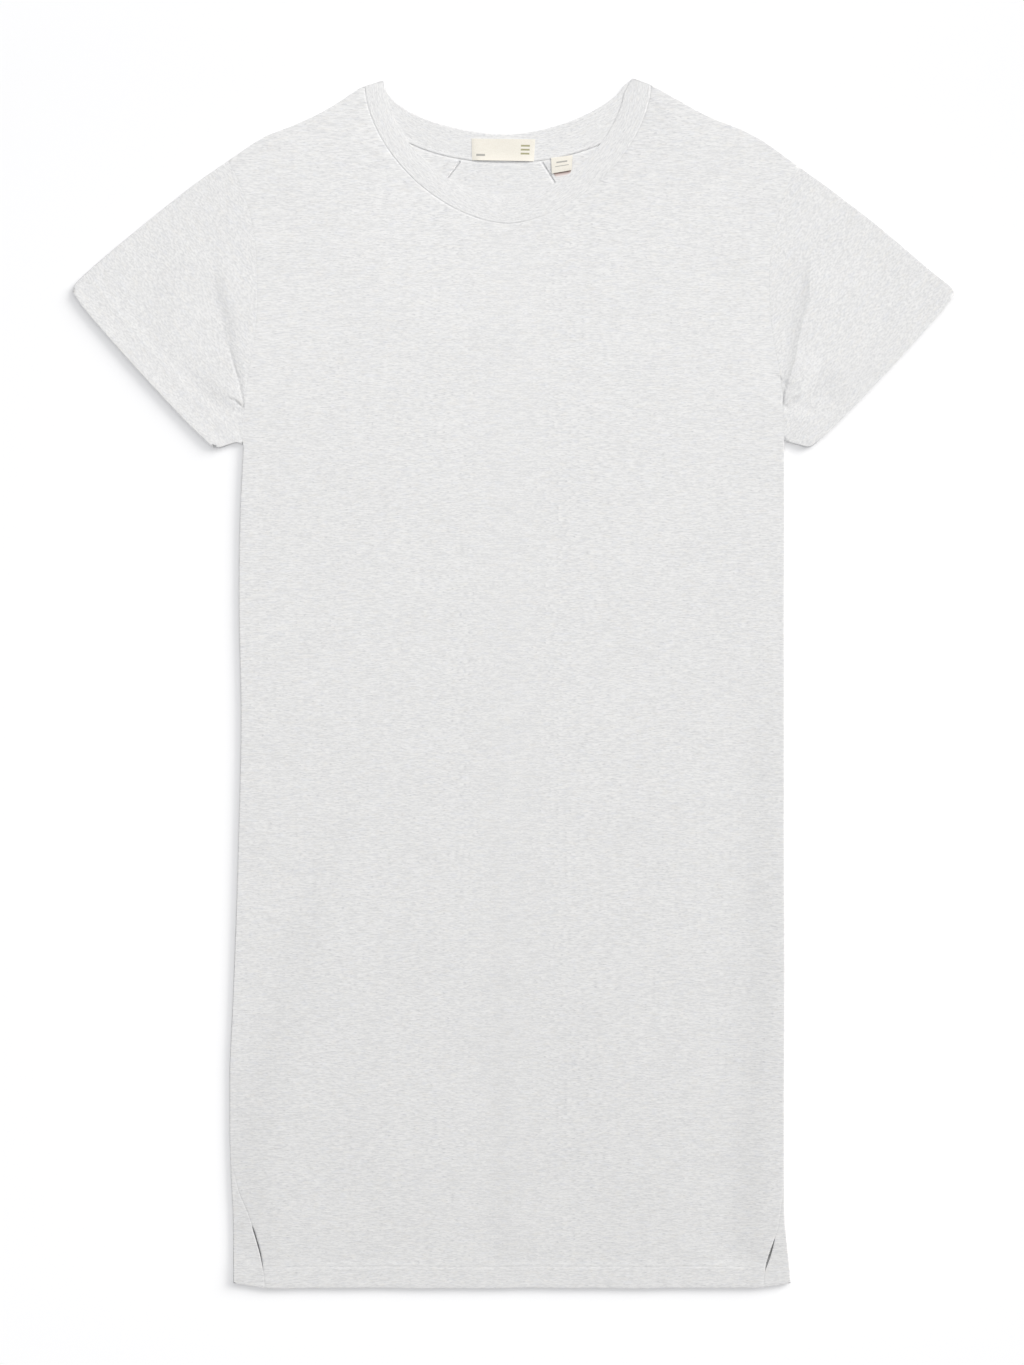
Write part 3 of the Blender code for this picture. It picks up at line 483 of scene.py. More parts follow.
# Creases: path from its start to its end, height and widths to the left and to the right of
# the path, each a value or evenly spaced values along it, fade in and out, and how near a folded
# edge it runs. One without a form is a ridge, or below 0 a trough; the others are slopes that climb
# towards the left, sharp where they end ("last") or nowhere ("even")
creases = [
    # right sleeve, into the underarm
    dict(path=[(-0.2281, 0.3260), (-0.2270, 0.3045), (-0.2254, 0.2925), (-0.2214, 0.2785),
               (-0.2187, 0.2634), (-0.2160, 0.2510), (-0.2128, 0.2400), (-0.2094, 0.2290),
               (-0.2068, 0.2170), (-0.2051, 0.2095)],
         form="even", height=(0.0007, 0.00095, 0.0010, 0.0007, 0.0003),
         left=(0.009, 0.010, 0.0105, 0.007, 0.0035), right=0.001, fade=(0.030, 0.001)),
    dict(path=[(-0.2640, 0.2580), (-0.2533, 0.2440), (-0.2400, 0.2332), (-0.2293, 0.2255),
               (-0.2213, 0.2183), (-0.2133, 0.2148), (-0.2085, 0.2114), (-0.2049, 0.2082)],
         form="even", height=(0.0, 0.00018, 0.00056, 0.00095, 0.00090),
         left=(0.005, 0.006, 0.010, 0.006, 0.0020), right=(0.005, 0.006, 0.008, 0.0065, 0.0030),
         fade=(0.020, 0.001)),
    # left sleeve, into the underarm
    dict(path=[(0.2264, 0.3330), (0.2257, 0.3063), (0.2245, 0.2903), (0.2208, 0.2766),
               (0.2177, 0.2647), (0.2153, 0.2503), (0.2125, 0.2399), (0.2093, 0.2303),
               (0.2066, 0.2199), (0.2052, 0.2136), (0.2048, 0.2100)],
         form="last", height=(0.0004, 0.0011, 0.0015, 0.0011, 0.0004), left=0.0,
         right=(0.007, 0.012, 0.0135, 0.008, 0.0035), fade=(0.030, 0.002)),
    dict(path=[(0.2390, 0.2460), (0.2310, 0.2355), (0.2250, 0.2285), (0.2210, 0.2232),
               (0.2188, 0.2188), (0.2127, 0.2143), (0.2091, 0.2108), (0.2048, 0.2086)],
         form="even", height=(0.0, -0.0010, -0.0016, -0.0017, -0.0008),
         left=(0.006, 0.007, 0.006, 0.0035, 0.0020), right=(0.006, 0.005, 0.003, 0.0014, 0.0010),
         fade=(0.012, 0.0025)),
    # the same creases' pinched ends
    dict(path=[(-0.2172, 0.2600), (-0.2146, 0.2500), (-0.2116, 0.2390), (-0.2086, 0.2290),
               (-0.2060, 0.2170), (-0.2048, 0.2095)],
         height=(-0.00010, -0.00030, -0.00045), left=0.0009, right=0.0009, fade=(0.012, 0.001)),
    dict(path=[(-0.2180, 0.2170), (-0.2133, 0.2150), (-0.2085, 0.2117), (-0.2049, 0.2086)],
         height=(-0.00030, -0.00060), left=0.0010, right=0.0010, fade=(0.006, 0.001)),
    dict(path=[(0.2135, 0.2500), (0.2107, 0.2399), (0.2075, 0.2303), (0.2052, 0.2199),
               (0.2047, 0.2100)],
         height=(-0.00010, -0.00040, -0.00055), left=0.0009, right=0.0009, fade=(0.012, 0.001)),
    dict(path=[(0.2223, 0.2218), (0.2189, 0.2189), (0.2126, 0.2144), (0.2090, 0.2109),
               (0.2047, 0.2087)],
         height=(-0.00050, -0.00080), left=0.0013, right=0.0012, fade=(0.010, 0.002)),
    # body, long soft ones
    dict(path=[(-0.0085, -0.0700), (-0.0085, -0.2400), (-0.0095, -0.4500)], form="even",
         height=(0.00025, 0.00036, 0.00052), left=0.009, right=0.010, fade=(0.12, 0.03), rim=0.02),
    dict(path=[(0.1930, 0.0600), (0.1915, -0.0130), (0.1905, -0.1200), (0.1862, -0.2350),
               (0.1800, -0.3550), (0.1770, -0.4480)], form="even",
         height=(0.0003, 0.0009, 0.0012, 0.0013, 0.0015),
         left=(0.012, 0.013, 0.015, 0.017, 0.018), right=0.015, fade=(0.12, 0.02), rim=0.0003),
    dict(path=[(-0.1080, -0.0500), (-0.1390, -0.1270), (-0.1700, -0.2330), (-0.1960, -0.3550),
               (-0.1990, -0.4480)], form="even", height=(0.0004, 0.0010, 0.0012, 0.0013),
         left=0.019, right=(0.016, 0.016, 0.019, 0.021), fade=(0.10, 0.02), rim=0.0003),
    dict(path=[(0.0650, -0.1500), (0.0800, -0.4200)], height=0.00035,
         left=(0.034, 0.030), right=(0.030, 0.034), fade=(0.10, 0.08), rim=0.02),
    dict(path=[(-0.0900, -0.2300), (-0.1050, -0.4250)], height=0.00035,
         left=(0.032, 0.036), right=(0.034, 0.030), fade=(0.10, 0.08), rim=0.02),
    dict(path=[(-0.0600, 0.2400), (-0.0850, 0.1500), (-0.1100, 0.0600)], height=0.00030,
         left=(0.045, 0.040), right=(0.040, 0.045), fade=(0.09, 0.09), rim=0.02),
    dict(path=[(0.0700, 0.2500), (0.0900, 0.1300), (0.1000, 0.0200)], height=0.00025,
         left=(0.040, 0.045), right=(0.045, 0.040), fade=(0.09, 0.09), rim=0.02),
    # sleeves, across towards the cuff
    dict(path=[(-0.2600, 0.3500), (-0.2800, 0.2900), (-0.2700, 0.2400)], height=-0.00025,
         left=(0.012, 0.012), right=(0.016, 0.012), fade=(0.03, 0.03), rim=0.012),
    dict(path=[(0.2650, 0.3450), (0.2850, 0.2900), (0.2720, 0.2420)], height=-0.00022,
         left=(0.014, 0.012), right=(0.012, 0.014), fade=(0.03, 0.03), rim=0.012),
]
creaseRim = 0.0012
# A slope's share below the cloth's own level, how far beyond it the cloth runs back to that level,
# how this narrows towards the path's end, and how its start fades out sideways
flank = {"low": 0.55, "reach": 0.030, "endReach": 0.0008, "narrowing": 0.8, "spread": 0.6}
# how far a crease is felt, in its own widths and metres more
felt = {"soft": (3.0, 0.0), "even": (2.0, 0.060), "last": (2.0, 0.060)}
swell = {"amounts": [0.00016, 0.00007, 0.000025], "lengths": [0.090, 0.036, 0.015],
         "stretch": 1.5, "seed": 3.0}
neckSag = {"amount": 0.00182, "reach": 0.095, "power": 1.35, "lowest": 0.00135}
creaseLines = [evenly(smoothCurve(crease["path"], steps=6), spacing["crease"]) for crease in creases]


def swells(points):
    total = np.zeros(len(points))
    for amount, length in zip(swell["amounts"], swell["lengths"]):
        across, up = 1.0 / length, 1.0 / (length * swell["stretch"])
        total += amount * np.array([noise.noise(Vector((x * across, y * up, swell["seed"] + length)))
                                    for x, y in points])
    return total


def alongPath(values, share):
    values = np.atleast_1d(values)
    return np.interp(share, np.linspace(0.0, 1.0, len(values)), values)


# A slope from 0 at r = 0 up to 1 at r = 1, which both runs back to the cloth's own level beyond
def flankRise(form, r, span, reach):
    q = np.clip(r, 0.0, 1.0)
    climb = ease(q)
    if form == "last":
        climb = 1.0 - (2 * (1 - q) - 2 * (1 - q)**3 + (1 - q)**4)
    beyond = (np.maximum(-r, 0.0) + np.maximum(r - 1.0, 0.0)) * span
    return (climb - flank["low"]) * np.exp(-(beyond / reach)**2)


def creaseRise(points, foldAway):
    rise = np.zeros(len(points))
    for crease, line in zip(creases, creaseLines):
        form = crease.get("form", "soft")
        widths, further = felt[form]
        reach = widths * max(np.max(crease["left"]), np.max(crease["right"])) + further
        low, high = line.min(axis=0) - reach, line.max(axis=0) + reach
        near = ((points > low) & (points < high)).all(axis=1).nonzero()[0]
        if not len(near):
            continue
        along, beside = besideLine(points[near], line)
        length = walk(line)[-1]
        share = along / length
        left, right = alongPath(crease["left"], share), alongPath(crease["right"], share)
        spread = 0.0 if form == "soft" else flank["spread"] * np.abs(beside)
        fades = (ease(along / (crease["fade"][0] + spread))
                 * ease((length - along) / crease["fade"][1]))
        rim = ease(foldAway[near] / crease.get("rim", creaseRim))
        if form == "soft":
            shape = np.exp(-(beside / np.where(beside > 0, left, right))**2)
        else:
            reach = np.minimum(flank["reach"],
                               flank["endReach"] + flank["narrowing"] * (length - along))
            shape = flankRise(form, (beside + right) / (left + right), left + right, reach)
        rise[near] += alongPath(crease["height"], share) * shape * fades * rim
    return rise


def dip(distance, depth, width):
    return depth * np.clip(1.0 - distance / width, 0.0, 1.0) ** 2


def groove(distance, depth, width):
    return depth * np.exp(-(distance / width) ** 2)


# Height of the upper layer's outside; extra is what a piece adds for its own hem, band or seam
def upperHeight(points, extra):
    foldAway = awayFrom(points, foldLines)
    q = np.clip(foldAway / lay["upperRoll"], 0.0, 1.0)
    roll = (1.0 - (1.0 - q) ** 3) ** (1 / 3)
    edgeAway = awayFrom(points, [lines["frontEdge"]])
    near = np.clip(1.0 - edgeAway / neckSag["reach"], 0.0, 1.0) ** neckSag["power"]
    low, high = lay["topLevels"]
    flat = lerp(*lay["upperTop"], ease((points[:, 1] - low) / (high - low)))
    top = flat + swells(points) * ease(foldAway / lay["rim"])
    top += creaseRise(points, foldAway)
    top -= neckSag["amount"] * near + (top - flat) * near
    top = np.maximum(top + extra, lerp(lay["lowest"], neckSag["lowest"], ease(near * 2.0)))
    return lay["foldMiddle"] + (top - lay["foldMiddle"]) * roll


# Height of the lower layer's outside, which lies on the floor away from its folds
def lowerHeight(points):
    foldAway = awayFrom(points, foldLines)
    q = np.clip(foldAway / lay["lowerRoll"], 0.0, 1.0)
    return lay["foldMiddle"] * (1.0 - np.sqrt(1.0 - (1.0 - q) ** 2))


# How far in from each kind of edge, and to both sides of a sharp crease, rows of points lie
edgeRows = {
    "fold": [0.00008, 0.0003, 0.0007, 0.0012, 0.0018, 0.0026, 0.0042],
    "seam": [0.0003, 0.0008, 0.0015, 0.0026, 0.0042, 0.0062],
    "free": [0.0003, 0.0007, 0.0013, 0.0022, 0.0034],
    "vent": [0.0003, 0.0008, 0.0015, 0.0026],
    "hem": [0.0003, 0.0008, 0.0016, 0.0040, 0.0080, 0.0115, 0.0140, 0.0150, 0.0157, 0.0162,
            0.0167, 0.0174, 0.0184, 0.0200, 0.0226],
}
crossRows = [0.0, 0.0003, -0.0003, 0.0008, -0.0008, 0.0014, -0.0014, 0.0022, -0.0022, 0.0034,
             -0.0034]
# Share of its depth that a row keeps clear of other edges, how far rows beside a crease keep off
# an edge and each other, and the grid's share of its spacing off all of them
clear = {"row": 0.97, "edge": 0.0016, "point": 0.00025, "grid": 0.55}


def leftNormals(points):
    tangents = np.gradient(points, axis=0)
    normals = np.stack([-tangents[:, 1], tangents[:, 0]], axis=-1)
    return normals / np.linalg.norm(normals, axis=1, keepdims=True)


def signedArea(loop):
    ends = np.roll(loop, -1, axis=0)
    return 0.5 * (loop[:, 0] * ends[:, 1] - loop[:, 1] * ends[:, 0]).sum()


# Parts are (kind, line) pairs that follow each other round the region
def turnedLeft(parts):
    if signedArea(np.vstack([line[:-1] for _, line in parts])) > 0:
        return parts
    return [(kind, line[::-1]) for kind, line in reversed(parts)]


def farFrom(points, placed, distance):
    tree = kdtree.KDTree(len(placed))
    for i, point in enumerate(placed):
        tree.insert((point[0], point[1], 0.0), i)
    tree.balance()
    keep = [tree.find((x, y, 0.0))[2] > distance for x, y in points]
    return points[np.array(keep, dtype=bool)]


# Points and triangles of a region: rows beside its edges and its sharp creases, and a grid between
def fillRegion(parts, pitch, crossLines=()):
    parts = turnedLeft(parts)
    loop = np.vstack([line[:-1] for _, line in parts])
    ends = np.roll(loop, -1, axis=0)
    rows = []
    for kind, line in parts:
        normals = leftNormals(line)
        for depth in edgeRows[kind]:
            row = line + normals * depth
            keep = away(row, loop, ends) > depth * clear["row"]
            rows.append(row[keep & insideLoop(row, loop, ends)])
    placed = np.vstack([loop, *rows])
    for line in crossLines:
        normals = leftNormals(line)
        for offset in crossRows:
            row = line + normals * offset
            row = row[insideLoop(row, loop, ends)]
            row = row[away(row, loop, ends) > clear["edge"]]
            placed = np.vstack([placed, farFrom(row, placed, clear["point"])])
    low, high = loop.min(axis=0), loop.max(axis=0)
    grid = []
    for i, y in enumerate(np.arange(low[1], high[1], pitch * math.sqrt(3) / 2)):
        xs = np.arange(low[0] + (i % 2) * pitch / 2, high[0], pitch)
        grid.append(np.stack([xs, np.full(len(xs), y)], axis=-1))
    grid = np.vstack(grid)
    grid = farFrom(grid[insideLoop(grid, loop, ends)], placed, pitch * clear["grid"])
    placed = np.vstack([placed, grid])
    border = [(i, (i + 1) % len(loop)) for i in range(len(loop))]
    result = geometry.delaunay_2d_cdt([Vector(p) for p in placed], border, [], 1, 1e-6)
    points = np.array([(v.x, v.y) for v in result[0]])
    return points, [tuple(face) for face in result[2]]


# One layer: its region, its height and its thickness at every point, facing up or down
def layer(region, height, thickness, facing, uv=None):
    points, faces = region
    if (signedArea(points[list(faces[0])]) > 0) != (facing > 0):
        faces = [face[::-1] for face in faces]
    return {"verts": np.column_stack([points, height]), "faces": faces, "thickness": thickness,
            "uv": uv}


# uv has a row for each point
def newPiece(name, verts, faces, material, uv=None):
    mesh = bpy.data.meshes.new(name)
    mesh.from_pydata(np.asarray(verts, dtype=float).tolist(), [], faces)
    mesh.materials.append(material)
    if uv is not None:
        corners = np.array([uv[i] for face in faces for i in face], dtype=np.float32)
        mesh.uv_layers.new(name="along").data.foreach_set("uv", corners.ravel())
    piece = bpy.data.objects.new(name, mesh)
    bpy.context.scene.collection.objects.link(piece)
    bpy.ops.object.select_all(action="DESELECT")
    piece.select_set(True)
    bpy.context.view_layer.objects.active = piece
    return piece


def editAll(operator, **values):
    bpy.ops.object.mode_set(mode="EDIT")
    bpy.ops.mesh.select_all(action="SELECT")
    operator(**values)
    bpy.ops.object.mode_set(mode="OBJECT")


def thicken(piece, thickness, offset, smoothAngle, group=""):
    solidify = piece.modifiers.new("cloth", "SOLIDIFY")
    solidify.thickness = thickness
    solidify.offset = offset
    solidify.vertex_group = group
    bpy.ops.object.modifier_apply(modifier="cloth")
    bpy.ops.object.shade_smooth_by_angle(angle=math.radians(smoothAngle))


# Joins layers along the edges that they share, and gives the cloth its thickness inwards
def clothPiece(name, layers, material, thickest):
    faces, shift = [], 0
    for one in layers:
        faces += [tuple(i + shift for i in face) for face in one["faces"]]
        shift += len(one["verts"])
    uv = None if layers[0]["uv"] is None else np.vstack([one["uv"] for one in layers])
    piece = newPiece(name, np.vstack([one["verts"] for one in layers]), faces, material, uv)
    group = piece.vertex_groups.new(name="cloth")
    for i, thickness in enumerate(np.concatenate([one["thickness"] for one in layers])):
        group.add([i], float(thickness / thickest), "REPLACE")
    editAll(bpy.ops.mesh.remove_doubles, threshold=0.00003)
    thicken(piece, thickest, -1.0, 48, "cloth")
    piece.vertex_groups.clear()
    return piece


heather = {
    "light": (0.852, 0.847, 0.838, 1.0),
    "dark": (0.665, 0.664, 0.664, 1.0),
    "cool": (0.700, 0.720, 0.780, 1.0),
    "warm": (0.800, 0.765, 0.700, 1.0),
    "fleck": (0.560, 0.560, 0.570, 1.0),
    # grains: length, width, depth
    "streak": (0.0034, 0.00082, 0.004),
    "longStreak": (0.0085, 0.0011, 0.006),
    "fleckSize": (0.0032, 0.00082, 0.004),
    "hueSize": (0.0070, 0.0024, 0.006),
    "cloudSize": (0.060, 0.030, 0.04),
    "waverSize": (0.016, 0.010, 0.02),
    "loopSize": (0.0009, 0.0007, 0.0009),
    "waver": 0.0010,
    "longShare": 0.38,
    "cloudShare": 0.16,
    # the pattern's levels between which a tint comes in, and its share
    "coolTint": (0.58, 0.72, 0.18),
    "warmTint": (0.28, 0.42, 0.16),
    "fleckTint": (0.66, 0.80, 0.55),
    "loopRelief": 0.6,
    "streakRelief": 0.9,
    "reliefDepth": 0.0003,
    "finish": {"Roughness": 0.92, "Specular_IOR_Level": 0.22, "Sheen_Weight": 0.06,
               "Sheen_Roughness": 0.5},
}


def jerseyFinish(name, turn=0.0, uvName=None, stretch=1.0, fine=1.0, spread=0.20):
    paint = Paint(name)
    streakSize, longSize, fleckSize = [
        tuple(np.multiply(heather[key], (stretch, fine, fine)))
        for key in ("streak", "longStreak", "fleckSize")]
    where = paint.placed(uvName)
    sway = paint.grain(where, heather["waverSize"], turn, detail=1.0)
    shift = (sway - 0.5) * heather["waver"]
    push = paint.add("ShaderNodeCombineXYZ", {}, {"X": shift * -math.sin(turn),
                                                   "Y": shift * math.cos(turn)})
    where = paint.add("ShaderNodeVectorMath", {"operation": "ADD"}, {0: where, 1: push})
    streak = paint.grain(where, streakSize, turn)
    longStreak = paint.grain(where, longSize, turn, detail=1.0)
    share = heather["longShare"]
    tone = paint.between(streak * (1 - share) + longStreak * share, 0.5 - spread, 0.5 + spread)
    cloud = paint.grain(where, heather["cloudSize"], turn, detail=1.0)
    share = heather["cloudShare"]
    cloth = paint.mix(tone * (1 - share) + cloud * share, heather["dark"], heather["light"])
    hue = paint.grain(where, heather["hueSize"], turn, detail=1.0)
    low, high, share = heather["coolTint"]
    cloth = paint.mix(paint.between(hue, low, high) * share, cloth, heather["cool"])
    low, high, share = heather["warmTint"]
    cloth = paint.mix((1.0 - paint.between(hue, low, high)) * share, cloth, heather["warm"])
    fleck = paint.grain(where, fleckSize, turn, detail=0.0)
    low, high, share = heather["fleckTint"]
    cloth = paint.mix(paint.between(fleck, low, high) * share, cloth, heather["fleck"])
    loops = paint.grain(where, heather["loopSize"], turn, detail=1.0)
    relief = loops * heather["loopRelief"] + streak * heather["streakRelief"]
    paint.set(Base_Color=cloth, Normal=paint.bump(relief, 0.25, heather["reliefDepth"]),
              **heather["finish"])
    return paint.material


tape = {
    "base": (0.850, 0.815, 0.735, 1.0),
    "shade": (0.800, 0.760, 0.670, 1.0),
    "olive": (0.300, 0.290, 0.130, 1.0),
    "grey": (0.340, 0.330, 0.310, 1.0),
    "weave": (0.0009, 0.00035, 0.001),
    "weaveDepth": 0.0001,
    "barShare": 0.85,
    # how softly a bar ends across and up, in shares of the label
    "blur": (0.004, 0.012),
    "finish": {"Roughness": 0.70, "Specular_IOR_Level": 0.3, "Sheen_Weight": 0.1,
               "Sheen_Roughness": 0.4},
}


# Bars are (colour, left, right, bottom, top) in shares of the label
def tapeFinish(name, bars, inner=None):
    paint = Paint(name)
    along = paint.placed("along")
    across, up = paint.axis(along, "X"), paint.axis(along, "Y")
    weave = paint.grain(paint.placed(), tape["weave"], 0.0, detail=1.0)
    cloth = paint.mix(paint.between(weave, 0.3, 0.7), tape["shade"], tape["base"])

    def within(value, low, high, blur):
        return (paint.between(value, low - blur, low + blur)
                * (1.0 - paint.between(value, high - blur, high + blur)))

    for colour, left, right, bottom, top in bars:
        inside = (within(across, left, right, tape["blur"][0])
                  * within(up, bottom, top, tape["blur"][1]))
        cloth = paint.mix(inside * tape["barShare"], cloth, tape[colour])
    # Painted shadow: where the back leaf shows below the front leaf, it is painted dark brown, fading
    # to a lighter tone further down
    if inner:
        low, middle, high = inner["levels"]
        tone = paint.mix(paint.between(up, middle, high), inner["middle"], inner["edge"])
        tone = paint.mix(paint.between(up, low, middle), inner["deep"], tone)
        cloth = paint.mix(1.0 - paint.between(up, -1.2, -1.0), cloth, tone)
    paint.set(Base_Color=cloth, Normal=paint.bump(weave, 0.2, tape["weaveDepth"]), **tape["finish"])
    return paint.material


def cuffTurn(side):
    arm = arms[side]
    way = np.array(arm["sleeveFold"][-1]) - np.array(arm["underarmFold"][-1])
    return math.atan2(way[1], way[0]) if way[0] > 0 else math.atan2(-way[1], -way[0])


bodyJersey = jerseyFinish("bodyJersey")
sleeveJersey = {side: jerseyFinish(side + "SleeveJersey", turn=cuffTurn(side), stretch=0.44,
                                   fine=0.64, spread=0.095)
                for side in sides}
bandJersey = jerseyFinish("bandJersey", uvName="along")
print("finishes mixed")

# What all the hems and vents have alike
hemLook = {"stitchWidth": 0.0008, "edgeDip": (0.00012, 0.0006), "riseFall": 0.0035, "liftReach": 0.012,
           "puckerReach": 0.006, "puckersAcross": 190.0, "puckersUp": 60.0, "single": 0.0008,
           "taper": 0.002}
ventLook = {"lipAway": 0.0020, "lipWidth": 0.0013, "dipWidth": 0.0008, "wide": 0.0010,
            "topFade": 0.030}


def hemAt(xLow, xHigh):
    xs = np.linspace(xLow, xHigh, max(2, int(round((xHigh - xLow) / spacing["edge"]))) + 1)
    return np.stack([xs, hemLine(xs)], axis=-1)


# Double as far in as the hem is turned up, and then single
def hemmedCloth(reach, look):
    past = reach - look["stitchLine"] - hemLook["single"]
    return lerp(look["hemCloth"], look["cloth"], ease(past / hemLook["taper"]))


# Lifts a hem's double cloth a little, with a groove and small puckers where it is stitched down
def hemRelief(points, reach, look, seed):
    past = reach - look["stitchLine"]
    rise = look["hemRise"] * (1.0 - ease(past / hemLook["riseFall"]))
    rise -= groove(past, look["stitchDepth"], hemLook["stitchWidth"])
    rise -= dip(reach, *hemLook["edgeDip"])
    rise += look["edgeLift"] * (1.0 - ease(reach / hemLook["liftReach"]))
    across, up = hemLook["puckersAcross"], hemLook["puckersUp"]
    waves = np.array([noise.noise(Vector((x * across, y * up, seed))) for x, y in points])
    return rise + groove(past, look["puckers"] * waves, hemLook["puckerReach"])


# The two edges of a vent turn down a little behind a small lip, most where it gapes
def ventRelief(points, cuts, look):
    beside = awayFrom(points, cuts)
    gape = np.where(points[:, 0] < 0, bodyAt("vents", "right", points[:, 1]),
                    bodyAt("vents", "left", points[:, 1]))
    rise = groove(beside - ventLook["lipAway"], look["ventLip"], ventLook["lipWidth"])
    rise -= dip(beside, look["ventDip"], ventLook["dipWidth"])
    shut = look["ventShut"] * ease((body["ventTop"] - points[:, 1]) / ventLook["topFade"])
    return rise * lerp(shut, 1.0, ease(gape / ventLook["wide"]))


frontPanel = {
    "spacing": 0.0045,
    "cloth": 0.0009,
    "hemCloth": 0.0017,
    "hemRise": 0.00030,
    "stitchLine": 0.0162,
    "stitchDepth": 0.00020,
    "puckers": 0.00008,
    "puckerSeed": 5.0,
    "edgeLift": 0.0003,
    "seamDip": (0.00012, 0.0014),
    "neckDip": (0.00026, 0.0012),
    "ventLip": 0.00006,
    "ventDip": 0.00030,
    "ventShut": 0.40,
}


# The front's cut edge from the hem up to the underarm, out from the vent to the folded edge
def frontSide(side):
    fold = lines[side + "Side"]
    levels = fold[:, 1]
    inset = bodyAt("seams", side, levels) + bodyAt("vents", side, levels) / 2
    return np.stack([fold[:, 0] - sides[side] * inset, levels], axis=-1)


def makeFront():
    rightSide, leftSide = frontSide("right"), frontSide("left")
    hem = hemAt(rightSide[0, 0], leftSide[0, 0])
    rightSide[0], leftSide[0] = hem[0], hem[-1]
    rightTop = int(np.searchsorted(rightSide[:, 1], body["ventTop"]))
    leftTop = int(np.searchsorted(leftSide[:, 1], body["ventTop"]))
    rightVent, leftVent = rightSide[:rightTop + 1], leftSide[:leftTop + 1]
    parts = [("hem", hem), ("vent", leftVent), ("fold", leftSide[leftTop:]),
             ("seam", lines["leftarmhole"]), ("fold", lines["leftshoulder"]),
             ("seam", lines["frontSeam"][::-1]), ("fold", lines["rightshoulder"][::-1]),
             ("seam", lines["rightarmhole"][::-1]), ("fold", rightSide[rightTop:][::-1]),
             ("vent", rightVent[::-1])]
    region = fillRegion(parts, frontPanel["spacing"])
    points = region[0]
    reach = awayFrom(points, [hem])
    extra = hemRelief(points, reach, frontPanel, frontPanel["puckerSeed"])
    extra -= dip(awayFrom(points, [lines["rightarmhole"]]), *frontPanel["seamDip"])
    extra -= dip(awayFrom(points, [lines["frontSeam"]]), *frontPanel["neckDip"])
    extra += ventRelief(points, [leftVent, rightVent], frontPanel)
    front = layer(region, upperHeight(points, extra), hemmedCloth(reach, frontPanel), 1.0)
    return clothPiece("frontPanel", [front], bodyJersey, frontPanel["hemCloth"])


frontPiece = makeFront()
print("front laid")

backPanel = {
    "spacing": 0.0048,
    "stripSpacing": 0.0035,
    "cloth": 0.0010,
    "hemCloth": 0.0017,
    "hemRise": 0.00030,
    "stitchLine": 0.0162,
    "stitchDepth": 0.00020,
    "puckers": 0.00008,
    "puckerSeed": 9.0,
    "edgeLift": 0.0003,
    "ventLip": 0.0,
    "ventDip": 0.00015,
    "ventShut": 0.50,
    "dartGroove": {"right": 0.00095, "left": 0.00052},
    "grooveWidth": 0.0008,
    "grooveLength": 0.030,
    # the right dart's raised edge: height, how far beside the dart, width, and where it ends
    "dartLip": (0.00055, 0.0015, 0.0009),
    "lipEnd": (0.024, 0.010),
    "neckGroove": (0.00030, 0.00070),
    "neckGrooveAway": 0.0004,
}
darts = {
    "right": {"start": (-0.0410, 0.3970), "way": (-0.60, -0.80), "out": (-0.98, 0.20)},
    "left": {"start": (0.0217, 0.3967), "way": (0.53, -0.85), "out": (0.98, 0.20)},
    "length": 0.055,
}


def dartLine(side):
    start = np.array(darts[side]["start"])
    return np.array([start, start + unit(darts[side]["way"]) * backPanel["grooveLength"]])


# From the right 0 to the left 1, across the part of the neck where seam and band part
def neckShare(points):
    start, width = neck["parting"]
    return ease((points[:, 0] - start) / width)


# The strip of the back that comes round the folded edge beside the vent
def ventStrip(side):
    out = sides[side]
    fold = lines[side + "Side"]
    levels = fold[:, 1]
    inset = bodyAt("seams", side, levels) - bodyAt("vents", side, levels) / 2
    fold = fold[:int((inset > 0.0004).argmin()) + 1]
    cut = np.stack([fold[:, 0] - out * inset[:len(fold)], fold[:, 1]], axis=-1)
    cut[-1] = fold[-1]
    hem = hemAt(*sorted((cut[0, 0], fold[0, 0])))[::int(out)]
    cut[0], hem[-1] = hem[0], fold[0]
    return fold, cut, hem


def makeBack():
    rightFold, leftFold = lines["rightSide"], lines["leftSide"]
    hem = hemAt(rightFold[0, 0], leftFold[0, 0])
    hem[0], hem[-1] = rightFold[0], leftFold[0]
    parts = [("hem", hem), ("fold", leftFold), ("seam", lines["leftarmhole"]),
             ("fold", lines["leftshoulder"]), ("seam", lines["backSeam"][::-1]),
             ("fold", lines["rightshoulder"][::-1]), ("seam", lines["rightarmhole"][::-1]),
             ("fold", rightFold[::-1])]
    dartLines = [evenly(dartLine(side), spacing["bandFold"]) for side in sides]
    region = fillRegion(parts, backPanel["spacing"], dartLines)
    points = region[0]
    thickness = hemmedCloth(awayFrom(points, [hem]), backPanel)
    for side in sides:
        thickness -= groove(awayFrom(points, [dartLine(side)]), backPanel["dartGroove"][side],
                            backPanel["grooveWidth"])
    along, beside = besideLine(points, dartLine("right"))
    height, offset, width = backPanel["dartLip"]
    end, fade = backPanel["lipEnd"]
    thickness += groove(beside - offset, height, width) * ease((end - along) / fade)
    seamAway = awayFrom(points, [lines["backSeam"]])
    thickness -= groove(seamAway - backPanel["neckGrooveAway"],
                        lerp(*backPanel["neckGroove"], neckShare(points)), backPanel["grooveWidth"])
    layers = [layer(region, lowerHeight(points), thickness, -1.0)]
    for side in sides:
        fold, cut, hem = ventStrip(side)
        parts = [("fold", fold), ("vent", cut[::-1]), ("hem", hem)]
        region = fillRegion(parts, backPanel["stripSpacing"])
        points = region[0]
        reach = awayFrom(points, [hem])
        extra = (hemRelief(points, reach, backPanel, backPanel["puckerSeed"])
                 + ventRelief(points, [cut], backPanel))
        layers.append(layer(region, upperHeight(points, extra), hemmedCloth(reach, backPanel), 1.0))
    return clothPiece("backPanel", layers, bodyJersey, backPanel["hemCloth"])


backPiece = makeBack()
print("back laid")

